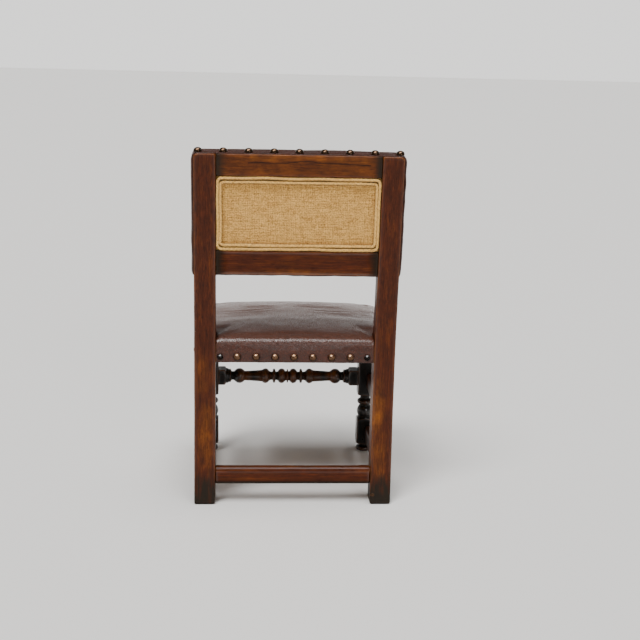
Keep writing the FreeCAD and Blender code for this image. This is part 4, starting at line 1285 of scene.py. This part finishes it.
class STOOL_OT_stage(bpy.types.Operator):
    """Pale floor, soft studio light, and a camera at the photograph's viewing angle"""

    bl_idname = "stool.stage"
    bl_label = "Stage"

    def execute(self, context):
        self.floor()
        self.light()
        self.camera()
        return {"FINISHED"}

    def floor(self):
        work = bmesh.new()
        bmesh.ops.create_grid(work, x_segments=1, y_segments=1, size=sizes().floor_reach)
        piece = bmesh_object("floor", work)
        material, tree = new_material("pale_floor")
        finish_material(tree, {"Base Color": colours().floor, "Roughness": 0.8})
        piece.data.materials.append(material)

    def light(self):
        # A pale wall all round up to eye level, a dimmer ceiling, and three soft lights.
        world = bpy.data.worlds.new("room")
        scene.world = world
        world.use_nodes = True
        tree = world.node_tree
        tree.nodes.clear()
        wall = colours().world
        way = add(tree, "TexCoord", out="Generated")
        level, depth = (add(tree, "SeparateXYZ", {"Vector": way}, out=axis) for axis in "ZY")
        glow = add(tree, "ValToRGB", {"Fac": level}, ramp=((0.11, wall), (0.20, shaded(wall, 0.12))))
        room = add(tree, "ValToRGB", {"Fac": depth}, ramp=((0.1, grey(1.0)), (0.7, grey(0.3))))
        glow = layered(tree, glow, (room, 1.0, "MULTIPLY"))
        light = add(tree, "Background", {"Color": glow, "Strength": 1.75})
        add(tree, "OutputWorld", {"Surface": light})
        for name, source, spread, power in LIGHTS:
            lamp = bpy.data.lights.new(name, "SUN")
            lamp.angle = math.radians(spread)
            lamp.energy = power
            holder = new_object(name, lamp)
            holder.rotation_euler = Vector(source).to_track_quat("Z", "Y").to_euler()

    def camera(self):
        # Solved on the straight edges of the photograph: place, heading, tilt and roll.
        place = Vector((83.1, 1980.3, 763.2)) * MM
        heading, tilt, roll = -0.0668, 0.2313, 0.0242
        focal_pixels, frame_pixels, sensor = 1132.5, 640, 36.0
        level = Vector((math.sin(heading), -math.cos(heading), 0))
        right = Vector((-math.cos(heading), -math.sin(heading), 0))
        forward = math.cos(tilt) * level - math.sin(tilt) * Vector((0, 0, 1))
        up = right.cross(forward)
        turned_right = math.cos(roll) * right + math.sin(roll) * up
        turned_up = math.cos(roll) * up - math.sin(roll) * right
        data = bpy.data.cameras.new("camera")
        data.sensor_fit = "HORIZONTAL"
        data.sensor_width = sensor
        data.lens = focal_pixels * sensor / frame_pixels
        holder = new_object("camera", data)
        axes = Matrix((turned_right, turned_up, -forward)).transposed().to_4x4()
        holder.matrix_world = Matrix.Translation(place) @ axes
        scene.camera = holder


PIECES = (
    STOOL_OT_posts, STOOL_OT_rails, STOOL_OT_turned, STOOL_OT_inside, STOOL_OT_seat_cover,
    STOOL_OT_back_cover, STOOL_OT_outside_back, STOOL_OT_nails, STOOL_OT_stage,
)


class STOOL_PT_panel(bpy.types.Panel):
    """Sizes, colours and pieces of the back stool"""

    bl_label = "Back stool"
    bl_idname = "STOOL_PT_panel"
    bl_space_type = "VIEW_3D"
    bl_region_type = "UI"
    bl_category = "Back stool"

    def draw(self, context):
        for group in (context.scene.stool_sizes, context.scene.stool_colours):
            column = self.layout.column(align=True)
            for name in group.__annotations__:
                column.prop(group, name)
        for operator in PIECES:
            self.layout.operator(operator.bl_idname)


CLASSES = (StoolSizes, StoolColours, *PIECES, STOOL_PT_panel)


def register():
    for kind in CLASSES:
        bpy.utils.register_class(kind)
    bpy.types.Scene.stool_sizes = bpy.props.PointerProperty(type=StoolSizes)
    bpy.types.Scene.stool_colours = bpy.props.PointerProperty(type=StoolColours)


def unregister():
    del bpy.types.Scene.stool_colours
    del bpy.types.Scene.stool_sizes
    for kind in reversed(CLASSES):
        bpy.utils.unregister_class(kind)


def main():
    register()
    bpy.ops.stool.posts()
    bpy.ops.stool.rails()
    bpy.ops.stool.turned()
    bpy.ops.stool.inside()
    bpy.ops.stool.seat_cover()
    bpy.ops.stool.back_cover()
    bpy.ops.stool.outside_back()
    bpy.ops.stool.nails()
    bpy.ops.stool.stage()


if __name__ == "__main__":
    main()
